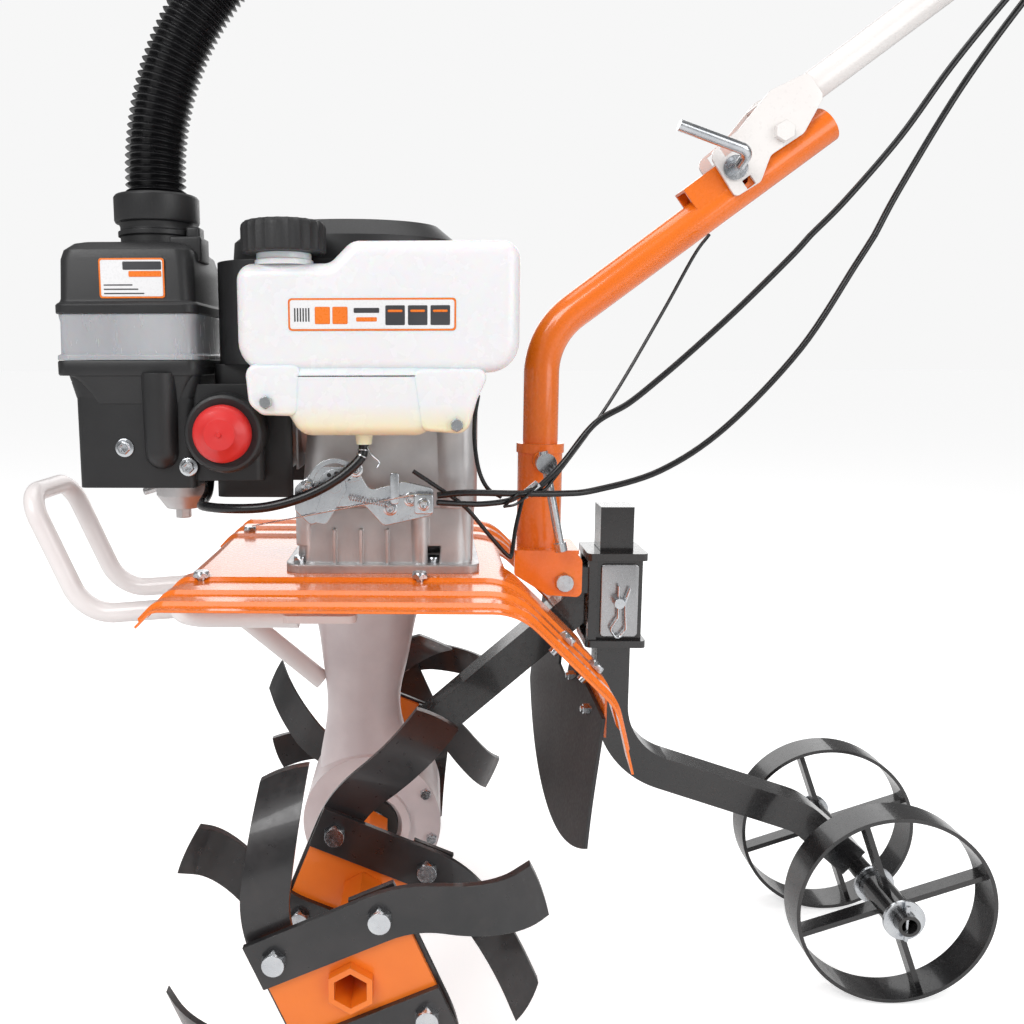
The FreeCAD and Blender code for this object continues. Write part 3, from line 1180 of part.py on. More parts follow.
def main():
    deck = trim_deck(fender_plate())
    save("fender_plate", fuse([deck] + [lip.cut(deck) for lip in flap_bracket()]))
    save("soil_flap", soil_flap())
    left, right = gearbox_case()
    save("front_bumper", front_bumper().cut(left).cut(right))
    save("gearbox_case_left", left)
    save("gearbox_case_right", right)
    save("gearbox_bolts", gearbox_bolts())
    save("gearbox_bearings", gearbox_bearings())
    save("output_seals", output_seals())
    save("output_shaft", output_shaft())
    save("worm_wheel", worm_wheel())
    save("tine_tubes", tine_tubes())
    plates = []
    outer, inner = [], []
    for side in (-1, 1):
        for y, turn in PLATE_SPOTS:
            plates.append(tine_plate(side * y, turn))
        outer += tine_blades(OUTER_PLATE_Y, PLATE_SPOTS[0][1], side, -1, -1)
        inner += tine_blades(INNER_PLATE_Y, PLATE_SPOTS[1][1], side, 1, -1)
    save("tine_plates", group(plates))
    save("outer_blades", group(outer))
    save("inner_blades", group(inner))
    save("tine_bolts", tine_bolts())
    save("worm_shaft", worm_shaft())
    save("clutch_drum", clutch_drum())
    save("crankshaft", crankshaft())
    save("flywheel", flywheel())
    save("clutch_shoes", clutch_shoes())
    receiver = hitch_receiver()
    save("support_strut", support_strut().cut(receiver).cut(left).cut(right))
    save("hitch_saddle", hitch_saddle())
    save("hitch_receiver", receiver)
    save("hitch_pin", hitch_pin())
    save("tail_arm", tail_arm())
    save("axle_washers", axle_washers())
    save("left_wheel", tail_wheel(-1))
    save("right_wheel", tail_wheel(1))
    save("stem_tube", stem_tube())
    save("clamp_screw", clamp_screw())
    save("handlebar_bracket", handlebar_bracket())
    save("handlebar_tube", handlebar_tube())
    save("lock_lever", lock_lever())
    save("grips", grips())
    save("lever_mounts", lever_mounts())
    save("drive_lever", hand_lever(-1, 118.0, 56.0))
    save("throttle_lever", hand_lever(1, 84.0, 52.0))
    save("stop_switch", stop_switch())
    save("engine_sump", engine_sump())
    save("engine_block", engine_block())
    save("fan_shroud", fan_shroud().cut(engine_block_envelope()))
    save("recoil_cover", recoil_cover())
    save("starter_handle", starter_handle())
    save("muffler", muffler())
    save("carburettor", carburettor())
    save("air_filter_base", air_filter_base())
    save("primer_bulb", primer_bulb())
    save("air_filter_ring", air_filter_ring())
    save("air_filter_cap", air_filter_cap())
    save("filter_element", filter_element())
    save("snorkel_hose", snorkel_hose())
    save("fuel_tank", fuel_tank())
    save("fuel_cap", fuel_cap())
    save("fuel_line", fuel_line())
    save("control_plate", control_plate())
    save("throttle_arm", throttle_arm())
    save("chassis_bolts", chassis_bolts())
    save("lower_cables", lower_cables())
    save("stem_cables", stem_cables())
    save("upper_cables", upper_cables())


main()
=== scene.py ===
import bpy
import bmesh
import json
import math
from mathutils import Matrix, Vector


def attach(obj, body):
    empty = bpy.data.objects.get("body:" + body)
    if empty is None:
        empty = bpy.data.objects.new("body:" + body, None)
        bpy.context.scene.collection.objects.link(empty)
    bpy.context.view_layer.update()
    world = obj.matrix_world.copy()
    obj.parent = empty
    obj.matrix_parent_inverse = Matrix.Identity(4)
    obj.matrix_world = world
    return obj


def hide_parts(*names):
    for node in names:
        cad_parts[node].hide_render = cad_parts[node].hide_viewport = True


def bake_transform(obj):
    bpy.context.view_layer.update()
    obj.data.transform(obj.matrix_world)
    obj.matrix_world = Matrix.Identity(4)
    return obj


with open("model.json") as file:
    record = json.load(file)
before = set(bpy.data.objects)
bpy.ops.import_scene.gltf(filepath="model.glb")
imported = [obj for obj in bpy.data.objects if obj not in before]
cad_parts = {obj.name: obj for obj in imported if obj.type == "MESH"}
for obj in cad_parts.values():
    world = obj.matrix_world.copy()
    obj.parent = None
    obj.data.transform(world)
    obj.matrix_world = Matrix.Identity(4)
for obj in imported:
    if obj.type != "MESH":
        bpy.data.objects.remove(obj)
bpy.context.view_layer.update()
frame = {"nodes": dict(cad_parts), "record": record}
NODES = frame["nodes"]
MM = 0.001
MIDDLE = Vector((0.2815655, 0, 0))     # rotor axis to the middle of the length
SHARP = math.radians(32)


# ------------------------------------------------------------ materials
def ramp(tree, source, low, high, c0=0.0, c1=1.0):
    """Maps source from low..high to c0..c1."""
    node = tree.nodes.new("ShaderNodeMapRange")
    node.inputs["From Min"].default_value = low
    node.inputs["From Max"].default_value = high
    node.inputs["To Min"].default_value = c0
    node.inputs["To Max"].default_value = c1
    tree.links.new(source, node.inputs["Value"])
    return node.outputs["Result"]


def noise(tree, vector, scale, detail=3.0, stretch=None):
    """Noise texture, stretched per axis when asked."""
    if stretch:
        squeeze = tree.nodes.new("ShaderNodeMapping")
        squeeze.inputs["Scale"].default_value = stretch
        tree.links.new(vector, squeeze.inputs["Vector"])
        vector = squeeze.outputs["Vector"]
    node = tree.nodes.new("ShaderNodeTexNoise")
    node.inputs["Scale"].default_value = scale
    node.inputs["Detail"].default_value = detail
    tree.links.new(vector, node.inputs["Vector"])
    return node.outputs["Fac"]


def feed(tree, socket, value):
    """Links an output to a socket, or sets it to a number or a colour."""
    if hasattr(value, "is_output"):
        tree.links.new(value, socket)
    elif isinstance(value, (int, float)):
        socket.default_value = value
    else:
        socket.default_value = (value[0], value[1], value[2], 1.0)


def mix(tree, factor, a, b):
    """Colour between a and b."""
    node = tree.nodes.new("ShaderNodeMix")
    node.data_type = "RGBA"
    feed(tree, node.inputs["Factor"], factor)
    for socket in node.inputs:
        if socket.type == "RGBA":
            feed(tree, socket, a if socket.name == "A" else b)
    return [s for s in node.outputs if s.type == "RGBA"][0]


def material(name, color, tint, rough, rough_to=None, metal=0.0, coat=0.0, patch=14.0, grain=500.0,
             bump=0.1, depth=0.0002, edge=None, edge_r=0.0009, stretch=None, sss=0.0, trans=0.0,
             dust=None, low_tint=None):
    """Layered finish: colour patches, fine grain in bump and roughness, softened and worn edges."""
    mat = bpy.data.materials.new(name)
    mat.use_nodes = True
    tree = mat.node_tree
    shader = tree.nodes["Principled BSDF"]
    place = tree.nodes.new("ShaderNodeTexCoord").outputs["Object"]
    broad = noise(tree, place, patch, 5.0, stretch)
    fine = noise(tree, place, grain, 4.0, stretch)
    colour = mix(tree, ramp(tree, broad, 0.35, 0.68), color, tint)
    if low_tint:
        tone, z0, z1 = low_tint
        split = tree.nodes.new("ShaderNodeSeparateXYZ")
        tree.links.new(place, split.inputs[0])
        colour = mix(tree, ramp(tree, split.outputs["Z"], z0, z1, 1.0, 0.0), colour, tone)
    if dust:
        specks = noise(tree, place, grain * 0.35, 6.0)
        colour = mix(tree, ramp(tree, specks, 0.62, 0.80, 0.0, 0.5), colour, dust)
    bevel = tree.nodes.new("ShaderNodeBevel")
    bevel.samples = 4
    bevel.inputs["Radius"].default_value = edge_r
    if edge:
        geometry = tree.nodes.new("ShaderNodeNewGeometry")
        dot = tree.nodes.new("ShaderNodeVectorMath")
        dot.operation = "DOT_PRODUCT"
        tree.links.new(bevel.outputs[0], dot.inputs[0])
        tree.links.new(geometry.outputs["Normal"], dot.inputs[1])
        worn = ramp(tree, dot.outputs["Value"], 0.80, 0.98, 0.75, 0.0)
        chips = tree.nodes.new("ShaderNodeMath")
        chips.operation = "MULTIPLY"
        tree.links.new(worn, chips.inputs[0])
        tree.links.new(ramp(tree, noise(tree, place, 90.0, 5.0), 0.5, 0.68), chips.inputs[1])
        colour = mix(tree, chips.outputs[0], colour, edge)
    tree.links.new(colour, shader.inputs["Base Color"])
    tree.links.new(ramp(tree, fine, 0.3, 0.7, rough, rough if rough_to is None else rough_to),
                   shader.inputs["Roughness"])
    relief = tree.nodes.new("ShaderNodeBump")
    relief.inputs["Strength"].default_value = bump
    relief.inputs["Distance"].default_value = depth
    tree.links.new(fine, relief.inputs["Height"])
    tree.links.new(bevel.outputs[0], relief.inputs["Normal"])
    tree.links.new(relief.outputs[0], shader.inputs["Normal"])
    shader.inputs["Metallic"].default_value = metal
    shader.inputs["Coat Weight"].default_value = coat
    shader.inputs["Coat Roughness"].default_value = 0.08
    shader.inputs["Subsurface Weight"].default_value = sss
    shader.inputs["Subsurface Scale"].default_value = 0.01
    shader.inputs["Transmission Weight"].default_value = trans
    return mat


ORANGE = material("orange_paint", (0.90, 0.185, 0.008), (0.86, 0.165, 0.007), 0.24, 0.30, coat=0.6,
                  grain=260.0, bump=0.05, edge=(0.50, 0.13, 0.03))
PLATE_ORANGE = material("orange_plate_paint", (0.88, 0.20, 0.012), (0.80, 0.165, 0.010), 0.32, 0.40,
                        coat=0.3,
                        grain=220.0, bump=0.10, edge=(0.25, 0.12, 0.06), dust=(0.72, 0.18, 0.03))
OFF_WHITE = material("off_white_paint", (0.85, 0.80, 0.79), (0.81, 0.75, 0.74), 0.30, 0.38, coat=0.35,
                     grain=190.0, bump=0.12, edge=(0.55, 0.48, 0.48))
CAST_PAINT = material("painted_casting", (0.72, 0.65, 0.655), (0.62, 0.55, 0.56), 0.34, 0.44, coat=0.25,
                      patch=22.0, grain=150.0, bump=0.30, depth=0.0004, edge=(0.42, 0.35, 0.36))
WHITE = material("white_paint", (0.86, 0.83, 0.81), (0.82, 0.78, 0.76), 0.26, 0.32, coat=0.5, grain=240.0,
                 bump=0.05, edge=(0.65, 0.60, 0.58))
BLACK = material("black_paint", (0.010, 0.010, 0.011), (0.020, 0.018, 0.018), 0.20, 0.30, coat=0.55,
                 grain=210.0, bump=0.10, edge=(0.06, 0.05, 0.05))
BLADE = material("blade_paint", (0.012, 0.012, 0.013), (0.030, 0.026, 0.027), 0.26, 0.42, coat=0.35,
                 patch=18.0, grain=160.0, bump=0.18, edge=(0.16, 0.15, 0.14), dust=(0.035, 0.028, 0.026))
ZINC = material("zinc_plate", (0.66, 0.68, 0.70), (0.52, 0.54, 0.57), 0.16, 0.30, metal=1.0, patch=60.0,
                grain=420.0, bump=0.08, edge=(0.80, 0.80, 0.80), edge_r=0.0005)
STEEL = material("turned_steel", (0.50, 0.50, 0.51), (0.42, 0.42, 0.43), 0.24, 0.34, metal=1.0, grain=700.0,
                 bump=0.06)
BRONZE = material("cut_bronze", (0.55, 0.34, 0.13), (0.46, 0.27, 0.10), 0.28, 0.36, metal=1.0, grain=600.0,
                  bump=0.08)
ALLOY = material("cast_alloy", (0.66, 0.65, 0.65), (0.52, 0.51, 0.515), 0.30, 0.46, metal=0.72, patch=26.0,
                 grain=330.0, bump=0.28, depth=0.0003, edge=(0.75, 0.74, 0.74), edge_r=0.0022)
FLAP = material("flap_rubber", (0.026, 0.026, 0.027), (0.038, 0.037, 0.038), 0.52, 0.66, grain=340.0,
                bump=0.22, dust=(0.06, 0.058, 0.056))
RUBBER = material("seal_rubber", (0.018, 0.018, 0.018), (0.028, 0.028, 0.028), 0.5, 0.6, bump=0.15)
GRIP = material("grip_rubber", (0.020, 0.020, 0.021), (0.033, 0.032, 0.033), 0.62, 0.75, grain=900.0,
                bump=0.4)
HOSE = material("hose_plastic", (0.006, 0.006, 0.007), (0.010, 0.010, 0.011), 0.20, 0.28, grain=120.0,
                bump=0.02,
                coat=0.2)
PLASTIC = material("black_plastic", (0.014, 0.014, 0.015), (0.022, 0.022, 0.023), 0.36, 0.48, grain=780.0,
                   bump=0.22, edge_r=0.0014)
CAP_BLACK = material("cap_plastic", (0.016, 0.016, 0.017), (0.030, 0.030, 0.031), 0.48, 0.62, grain=520.0,
                     bump=0.55, depth=0.0005)
RED = material("red_plastic", (0.72, 0.030, 0.028), (0.60, 0.020, 0.020), 0.34, 0.44, grain=300.0, bump=0.12,
               coat=0.15, sss=0.12)
MILK = material("tank_plastic", (0.80, 0.795, 0.81), (0.785, 0.78, 0.795), 0.24, 0.30, grain=60.0, bump=0.01,
                sss=0.45, coat=0.15, low_tint=((0.80, 0.74, 0.52), 0.546, 0.566))
CLEAR = material("filter_bowl_plastic", (0.58, 0.59, 0.62), (0.42, 0.43, 0.46), 0.18, 0.30, grain=200.0,
                 bump=0.06, sss=0.2, trans=0.25, stretch=(1.0, 1.0, 0.2))
DARK_METAL = material("heat_proof_paint", (0.035, 0.034, 0.033), (0.060, 0.055, 0.050), 0.45, 0.60,
                      metal=0.4,
                      grain=260.0, bump=0.2, edge=(0.12, 0.10, 0.09))
FOAM = material("filter_foam", (0.50, 0.44, 0.28), (0.40, 0.34, 0.20), 0.8, 0.9, grain=900.0, bump=0.7)
CABLE = material("cable_sheath", (0.005, 0.005, 0.006), (0.009, 0.009, 0.010), 0.24, 0.30, grain=90.0,
                 bump=0.01)
LABEL_WHITE = material("label_white", (0.80, 0.80, 0.81), (0.76, 0.76, 0.77), 0.25, 0.32, bump=0.03)
LABEL_ORANGE = material("label_orange", (0.85, 0.20, 0.02), (0.80, 0.17, 0.02), 0.25, 0.32, bump=0.03)
LABEL_GREY = material("label_grey", (0.06, 0.06, 0.065), (0.04, 0.04, 0.045), 0.28, 0.34, bump=0.03)
GLASSY = material("bright_bowl", (0.62, 0.66, 0.66), (0.50, 0.54, 0.55), 0.2, 0.3, metal=0.7, bump=0.1)

FINISH = {
    "orange_paint": ORANGE, "off_white_paint": OFF_WHITE, "black_paint": BLACK, "white_paint": WHITE,
    "zinc": ZINC, "steel": STEEL, "bronze": BRONZE, "cast_alloy": ALLOY, "flap_rubber": FLAP,
    "seal_rubber": RUBBER, "grip_foam": GRIP, "hose_rubber": HOSE, "black_plastic": PLASTIC,
    "red_plastic": RED, "clear_plastic": CLEAR, "tank_plastic": MILK, "muffler_metal": DARK_METAL,
    "paper_filter": FOAM, "cable_black": CABLE, "casting_paint": CAST_PAINT,
}
SPECIAL = {
    "outer_blades": BLADE,
    "inner_blades": BLADE, "tine_plates": PLATE_ORANGE, "tine_tubes": PLATE_ORANGE,
}
SLOT = {}
for part in frame["record"]["subparts"]:
    SLOT[part["node"]] = part["material_slot"]
for node_name, node in NODES.items():
    node.data.materials.clear()
    node.data.materials.append(SPECIAL.get(node_name) or FINISH[SLOT[node_name]])


# ------------------------------------------------------------ mesh helpers
def piece(name, verts, faces, mat, body, replaces=(), smooth=True):
    """New mesh piece in the row frame; points are in millimetres."""
    mesh = bpy.data.meshes.new(name)
    mesh.from_pydata([Vector(v) * MM - MIDDLE for v in verts], [], faces)
    work = bmesh.new()
    work.from_mesh(mesh)
    bmesh.ops.remove_doubles(work, verts=work.verts, dist=1e-6)
    bmesh.ops.recalc_face_normals(work, faces=work.faces)
    work.to_mesh(mesh)
    work.free()
    mesh.polygons.foreach_set("use_smooth", [smooth] * len(mesh.polygons))
    if smooth:
        mesh.set_sharp_from_angle(angle=SHARP)
    obj = bpy.data.objects.new(name, mesh)
    bpy.context.scene.collection.objects.link(obj)
    mesh.materials.append(mat)
    if body:
        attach(obj, body)
    if replaces:
        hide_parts(*replaces)
    return obj


def rings(name, loops, mat, body, replaces=(), caps=True):
    """Skin over closed loops of equal length."""
    count = len(loops[0])
    verts = [p for loop in loops for p in loop]
    faces = []
    for i in range(len(loops) - 1):
        for j in range(count):
            k = (j + 1) % count
            faces.append((i * count + j, i * count + k, (i + 1) * count + k, (i + 1) * count + j))
    if caps:
        faces.append(tuple(range(count)))
        faces.append(tuple((len(loops) - 1) * count + j for j in range(count)))
    return piece(name, verts, faces, mat, body, replaces)


def spline(points, steps=8):
    """Smooth curve through points."""
    pts = [Vector(p) for p in points]
    pts = [pts[0] * 2 - pts[1]] + pts + [pts[-1] * 2 - pts[-2]]
    out = []
    for i in range(1, len(pts) - 2):
        a, b, c, d = pts[i - 1], pts[i], pts[i + 1], pts[i + 2]
        for k in range(steps):
            t = k / steps
            out.append(0.5 * (2 * b + (c - a) * t + (2 * a - 5 * b + 4 * c - d) * t * t
                              + (3 * b - a - 3 * c + d) * t * t * t))
    out.append(pts[-2])
    return out


def tube(name, path, radius, mat, body, replaces=(), seg=14, caps=True):
    """Round tube along path; radius is a number or a function of the path index."""
    loops = []
    side = None
    for i, p in enumerate(path):
        d = (path[min(i + 1, len(path) - 1)] - path[max(i - 1, 0)]).normalized()
        if side is None:
            side = d.orthogonal().normalized()
        side = (side - d * side.dot(d)).normalized()
        other = d.cross(side)
        r = radius(i) if callable(radius) else radius
        loops.append([p + (side * math.cos(a) + other * math.sin(a)) * r
                      for a in (2 * math.pi * k / seg for k in range(seg))])
    return rings(name, loops, mat, body, replaces, caps)


def lathe(name, profile, centre, axis, mat, body, replaces=(), seg=48, lobes=0, lobe_h=0.0):
    """Turned piece: profile of (radius, height) along axis; lobes add shallow grip ribs."""
    axis = Vector(axis).normalized()
    side = axis.orthogonal().normalized()
    other = axis.cross(side)
    loops = []
    for r, h in profile:
        loop = []
        for k in range(seg):
            a = 2 * math.pi * k / seg
            grow = lobe_h * max(0.0, math.cos(a * lobes)) if lobes and r > 1.0 else 0.0
            q = r + grow
            loop.append(Vector(centre) + axis * h + (side * math.cos(a) + other * math.sin(a)) * q)
        loops.append(loop)
    return rings(name, loops, mat, body, replaces)


def rounded(corners, steps=7):
    """Closed outline from (u, v, radius) corners."""
    out = []
    n = len(corners)
    for i in range(n):
        p = Vector(corners[i][:2])
        a = (Vector(corners[i - 1][:2]) - p).normalized()
        b = (Vector(corners[(i + 1) % n][:2]) - p).normalized()
        r = corners[i][2]
        half = math.acos(max(-1.0, min(1.0, a.dot(b)))) / 2
        reach = r / math.tan(half)
        centre = p + (a + b).normalized() * (r / math.sin(half))
        start, end = p + a * reach - centre, p + b * reach - centre
        turn = start.angle_signed(end)
        for k in range(steps + 1):
            out.append(centre + Matrix.Rotation(-turn * k / steps, 2) @ start)
    return out


def inset(outline, amount):
    """Outline moved inward by amount; the outline runs anticlockwise."""
    area = sum(outline[i - 1].cross(outline[i]) for i in range(len(outline)))
    sign = 1.0 if area > 0 else -1.0
    moved = []
    n = len(outline)
    for i in range(n):
        j = 1
        while (outline[(i + j) % n] - outline[i - j]).length < 1e-4:
            j += 1
        d = (outline[(i + j) % n] - outline[i - j]).normalized()
        moved.append(outline[i] + Vector((-d.y, d.x)) * amount * sign)
    return moved


def pillow(name, corners, plane, low, high, r_low, r_high, mat, body, replaces=(), steps=6):
    """Outline extruded between low and high with rounded rims."""
    base = rounded(corners)
    lift = {"xz": lambda q, h: (q.x, h, q.y), "xy": lambda q, h: (q.x, q.y, h),
            "yz": lambda q, h: (h, q.x, q.y)}[plane]
    loops = []
    for k in range(steps + 1):
        a = math.pi / 2 * k / steps
        shape = inset(base, r_low * (1 - math.sin(a)))
        loops.append([lift(q, low + r_low * (1 - math.cos(a))) for q in shape])
    for k in range(steps + 1):
        a = math.pi / 2 * k / steps
        shape = inset(base, r_high * (1 - math.cos(a)))
        loops.append([lift(q, high - r_high * (1 - math.sin(a))) for q in shape])
    return rings(name, loops, mat, body, replaces)


def rect(u0, u1, v0, v1, r):
    return [(u0, v0, r), (u1, v0, r), (u1, v1, r), (u0, v1, r)]


def screw(name, at, axis, r=6.0, height=4.5, washer=8.2, body="chassis"):
    """Flanged hexagon screw head with a recessed centre, over its washer."""
    lathe(name + "_washer", [(0.01, 0), (washer, 0), (washer, 1.2), (washer - 0.8, 1.6), (0.01, 1.6)], at,
          axis,
          ZINC, body, seg=32)
    profile = [(0.01, 1.6), (r, 1.6), (r, height - 0.8), (r - 0.9, height), (r * 0.55, height),
               (r * 0.45, height - 0.9), (0.01, height - 1.1)]
    lathe(name + "_head", profile, at, axis, ZINC, body, seg=6)


# ------------------------------------------------------------ intake hose and air box
HOSE_X = -193.0
HOSE_Y = -34.0
HOSE_R = 27.0
HOSE_FOOT = 748.0           # where the hose leaves the collar
HOSE_LOW = 765.0            # where the bend starts
HOSE_BEND = 260.0
HOSE_TAIL = 28.0            # straight run into the pre-cleaner


def hose_path(spacing):
    """Centre line of the intake hose: up, round a quarter bend and back."""
    out = []
    z = HOSE_FOOT
    while z < HOSE_LOW:
        out.append(Vector((HOSE_X, HOSE_Y, z)))
        z += spacing
    arc = HOSE_BEND * math.pi / 2
    run = z - HOSE_LOW
    while run < arc:
        a = run / HOSE_BEND
        out.append(Vector((HOSE_X + HOSE_BEND * (1 - math.cos(a)), HOSE_Y, HOSE_LOW + HOSE_BEND * math.sin(a))))
        run += spacing
    x = HOSE_X + HOSE_BEND + (run - arc)
    while x < HOSE_X + HOSE_BEND + HOSE_TAIL:
        out.append(Vector((x, HOSE_Y, HOSE_LOW + HOSE_BEND)))
        x += spacing
    return out


HOSE_STEP = 1.0
HOSE_PITCH = 6              # steps from rib to rib
RIB_DEPTH = 2.4


def hose_radius(i):
    """Ribbed outer radius, with valleys a little shallower than the crests."""
    wave = math.cos(2 * math.pi * i / HOSE_PITCH)
    return HOSE_R - RIB_DEPTH + RIB_DEPTH * (wave if wave > 0 else wave * 0.9)


tube("snorkel_hose_ribbed", hose_path(HOSE_STEP), hose_radius, HOSE, "chassis",
     ("snorkel_hose",), seg=40)
HOSE_END = Vector((HOSE_X + HOSE_BEND + 16, HOSE_Y, HOSE_LOW + HOSE_BEND))
lathe("intake_pre_cleaner", [(28, 0), (36, 0), (37, 2), (37, 56), (36, 59), (33, 60), (33, 54), (0.01, 54)],
      HOSE_END, (1, 0, 0), PLASTIC, "chassis", seg=64)
MOUTH_R = 33.0
MOUTH_AT = 56
BAR_GAP = 9.0
for k in range(-3, 4):
    across = k * BAR_GAP
    half = math.sqrt(MOUTH_R ** 2 - across ** 2)
    tube("pre_cleaner_grid_%d" % (k + 3),
         [HOSE_END + Vector((MOUTH_AT, across, -half)), HOSE_END + Vector((MOUTH_AT, across, half))],
         1.5, PLASTIC, "chassis", seg=8)

COLLAR = [(28, 50), (36.5, 50), (38, 48), (38, 28), (37, 26), (34, 25), (33, 22), (33, 19), (35, 18),
          (35, 14),
          (33, 13), (33, 4), (28, 4)]
lathe("air_box_collar", COLLAR, (HOSE_X, HOSE_Y, 700), (0, 0, 1), PLASTIC, "chassis",
      seg=72)


def box_ring(x0, x1, y0, y1, r, z):
    return [(q.x, q.y, z) for q in rounded(rect(x0, x1, y0, y1, r))]


rings("air_box_cap", [
    box_ring(-262, -152, -86, 18, 12, 643.2), box_ring(-271, -145.5, -93.5, 25.5, 13, 643.2),
    box_ring(-271.5, -145, -94, 26, 13, 644), box_ring(-271.5, -145, -94, 26, 13, 650.5),
    box_ring(-270.5, -146, -93, 25, 13, 652), box_ring(-268.5, -148, -91, 23, 12, 653.5),
    box_ring(-267.5, -148.5, -90.5, 22.5, 12, 656), box_ring(-266.5, -149.5, -89.5, 21.5, 13, 690),
    box_ring(-264.5, -151.5, -87.5, 19.5, 14, 698), box_ring(-258, -158, -81, 13, 14, 704),
    box_ring(-253, -163, -76, 8, 14, 705.5)], PLASTIC, "chassis", ("air_filter_cap",))
pillow("air_box_latch_tower", rect(-176, -147, -62, -30, 3), "xy", 690, 712, 1.0, 2.0, PLASTIC, "chassis")
pillow("air_box_latch_hook", rect(-162, -149.5, -56, -36, 3), "xy", 708, 721, 1.0, 2.0, PLASTIC, "chassis")
rings("filter_bowl_band", [
    box_ring(-262, -152, -86, 18, 9, 603.2), box_ring(-271.5, -145.5, -93.5, 25.5, 12, 603.2),
    box_ring(-271.5, -145.5, -93.5, 25.5, 12, 607), box_ring(-269, -148, -91, 23, 11, 608.5),
    box_ring(-268.5, -148.5, -90.5, 22.5, 11, 636), box_ring(-269.5, -147, -92, 24, 12, 641),
    box_ring(-269.5, -147, -92, 24, 12, 643), box_ring(-262, -152, -86, 18, 9, 643)],
      CLEAR, "chassis", ("air_filter_ring",))
rings("filter_tray_lip", [
    box_ring(-258, -156, -80, 12, 9, 589.6), box_ring(-270.5, -144, -93.5, 25, 12, 589.6),
    box_ring(-271.5, -143.5, -94, 25.5, 12, 591), box_ring(-271.5, -143.5, -94, 25.5, 12, 601.5),
    box_ring(-270.5, -144, -93.5, 25, 12, 602.8), box_ring(-258, -156, -80, 12, 9, 602.8)],
      PLASTIC, "chassis")
rings("filter_tray_funnel", [
    box_ring(-240, -160, -88.5, 0, 8, 565), box_ring(-246, -156, -89.5, 4, 9, 574),
    box_ring(-254, -151, -91.5, 12, 10, 584), box_ring(-262, -147, -92.5, 18, 11, 590)],
      PLASTIC, "chassis")
BULGE_X = -181.0
BULGE_Z0 = 507.0
BULGE_Z1 = 592.0
BULGE_R = 15.5
bulge = []
for k in range(9):
    a = math.pi / 2 * k / 8
    bulge.append((BULGE_R * math.sin(a) + 0.01, -BULGE_R * math.cos(a)))
lathe("side_cover_rib", bulge + [(16.5, BULGE_Z1 - BULGE_Z0 - 15)],
      (BULGE_X, -84.5, BULGE_Z0 + 15), (0, 0, 1), PLASTIC, "chassis", seg=32)
screw("cover_screw_a", (-214, -88.1, 526), (0, -1, 0))
screw("cover_screw_b", (-157.5, -88.1, 509), (0, -1, 0))
PRIMER_X = -122.0
PRIMER_Z = 540.0
lathe("primer_bulb_dome", [(0.01, 3.0), (2.0, 3.0), (2.6, 1.4), (5, 1.0), (10, 0.2), (13.4, 0.0),
                           (14.0, -0.9),
                           (20.0, -4.2), (23.4, -6.4), (25.0, -9.0), (25.0, -23.0), (28.3, -23.6),
                           (28.3, -27.0),
                           (0.01, -27.0)],
      (PRIMER_X, -121, PRIMER_Z), (0, -1, 0), RED, "primer_bulb", ("primer_bulb",), seg=64)
lathe("primer_rim", [(28.7, 9.0), (30.5, 10.0), (33.0, 9.2), (34.4, 6.0), (35.4, 0.0), (28.7, 0.0)],
      (PRIMER_X, -96, PRIMER_Z), (0, -1, 0), PLASTIC, "chassis", seg=64)

# ------------------------------------------------------------ fuel tank
TANK = (-128.0, -84.0)
pillow("fuel_tank_upper", [(-104, 682, 14), (-104, 592, 26), (131, 592, 26), (131, 700, 16), (-8, 700, 16),
                           (-26, 682, 12)], "xz",
       TANK[0], TANK[1], 12.0, 9.0, MILK, "chassis", ("fuel_tank",))
pillow("fuel_tank_lower", [(-66, 600, 10), (-66, 562, 16), (-52, 539.5, 17), (52, 539.5, 20), (70, 560, 16),
                           (80, 600, 10)], "xz", TANK[0] + 0.5, TANK[1], 11.0, 8.0, MILK, "chassis")
pillow("tank_lug_left", [(-98, 600, 10), (-95, 566, 12), (-84, 557, 9), (-52, 556, 8), (-50, 600, 8)], "xz",
       TANK[0] + 0.2, TANK[1], 4.0, 4.0, MILK, "chassis")
pillow("tank_lug_right", [(40, 596, 8), (48, 544, 10), (88, 541, 12), (96, 570, 12), (108, 596, 8)], "xz",
       TANK[0] + 0.2, TANK[1], 4.0, 4.0, MILK, "chassis")
CAP_X = -66.0
CAP_Y = -106.0
lathe("tank_neck", [(19, 0), (24.5, 0), (24.5, 4), (23, 5), (23, 9.8), (19, 9.8)], (CAP_X, CAP_Y, 681),
      (0, 0, 1), MILK, "chassis", seg=48)
lathe("tank_outlet", [(4.2, 10), (10, 10), (8, 0), (6.5, -10), (4.2, -10)], (0, -106, 541), (0, 0, 1), MILK,
      "chassis", seg=32)
lathe("fuel_cap_ribbed", [(20.1, 9.5), (20.1, 0), (33.2, 0), (34.4, 1.2), (34.6, 20), (34.0, 22.8),
                          (32.2, 25.0), (30.0, 25.8), (24.0, 25.4), (22.5, 24.8), (0.01, 24.8)],
      (CAP_X, CAP_Y, 691), (0, 0, 1), CAP_BLACK, "fuel_cap", ("fuel_cap",), seg=144,
      lobes=24, lobe_h=1.2)

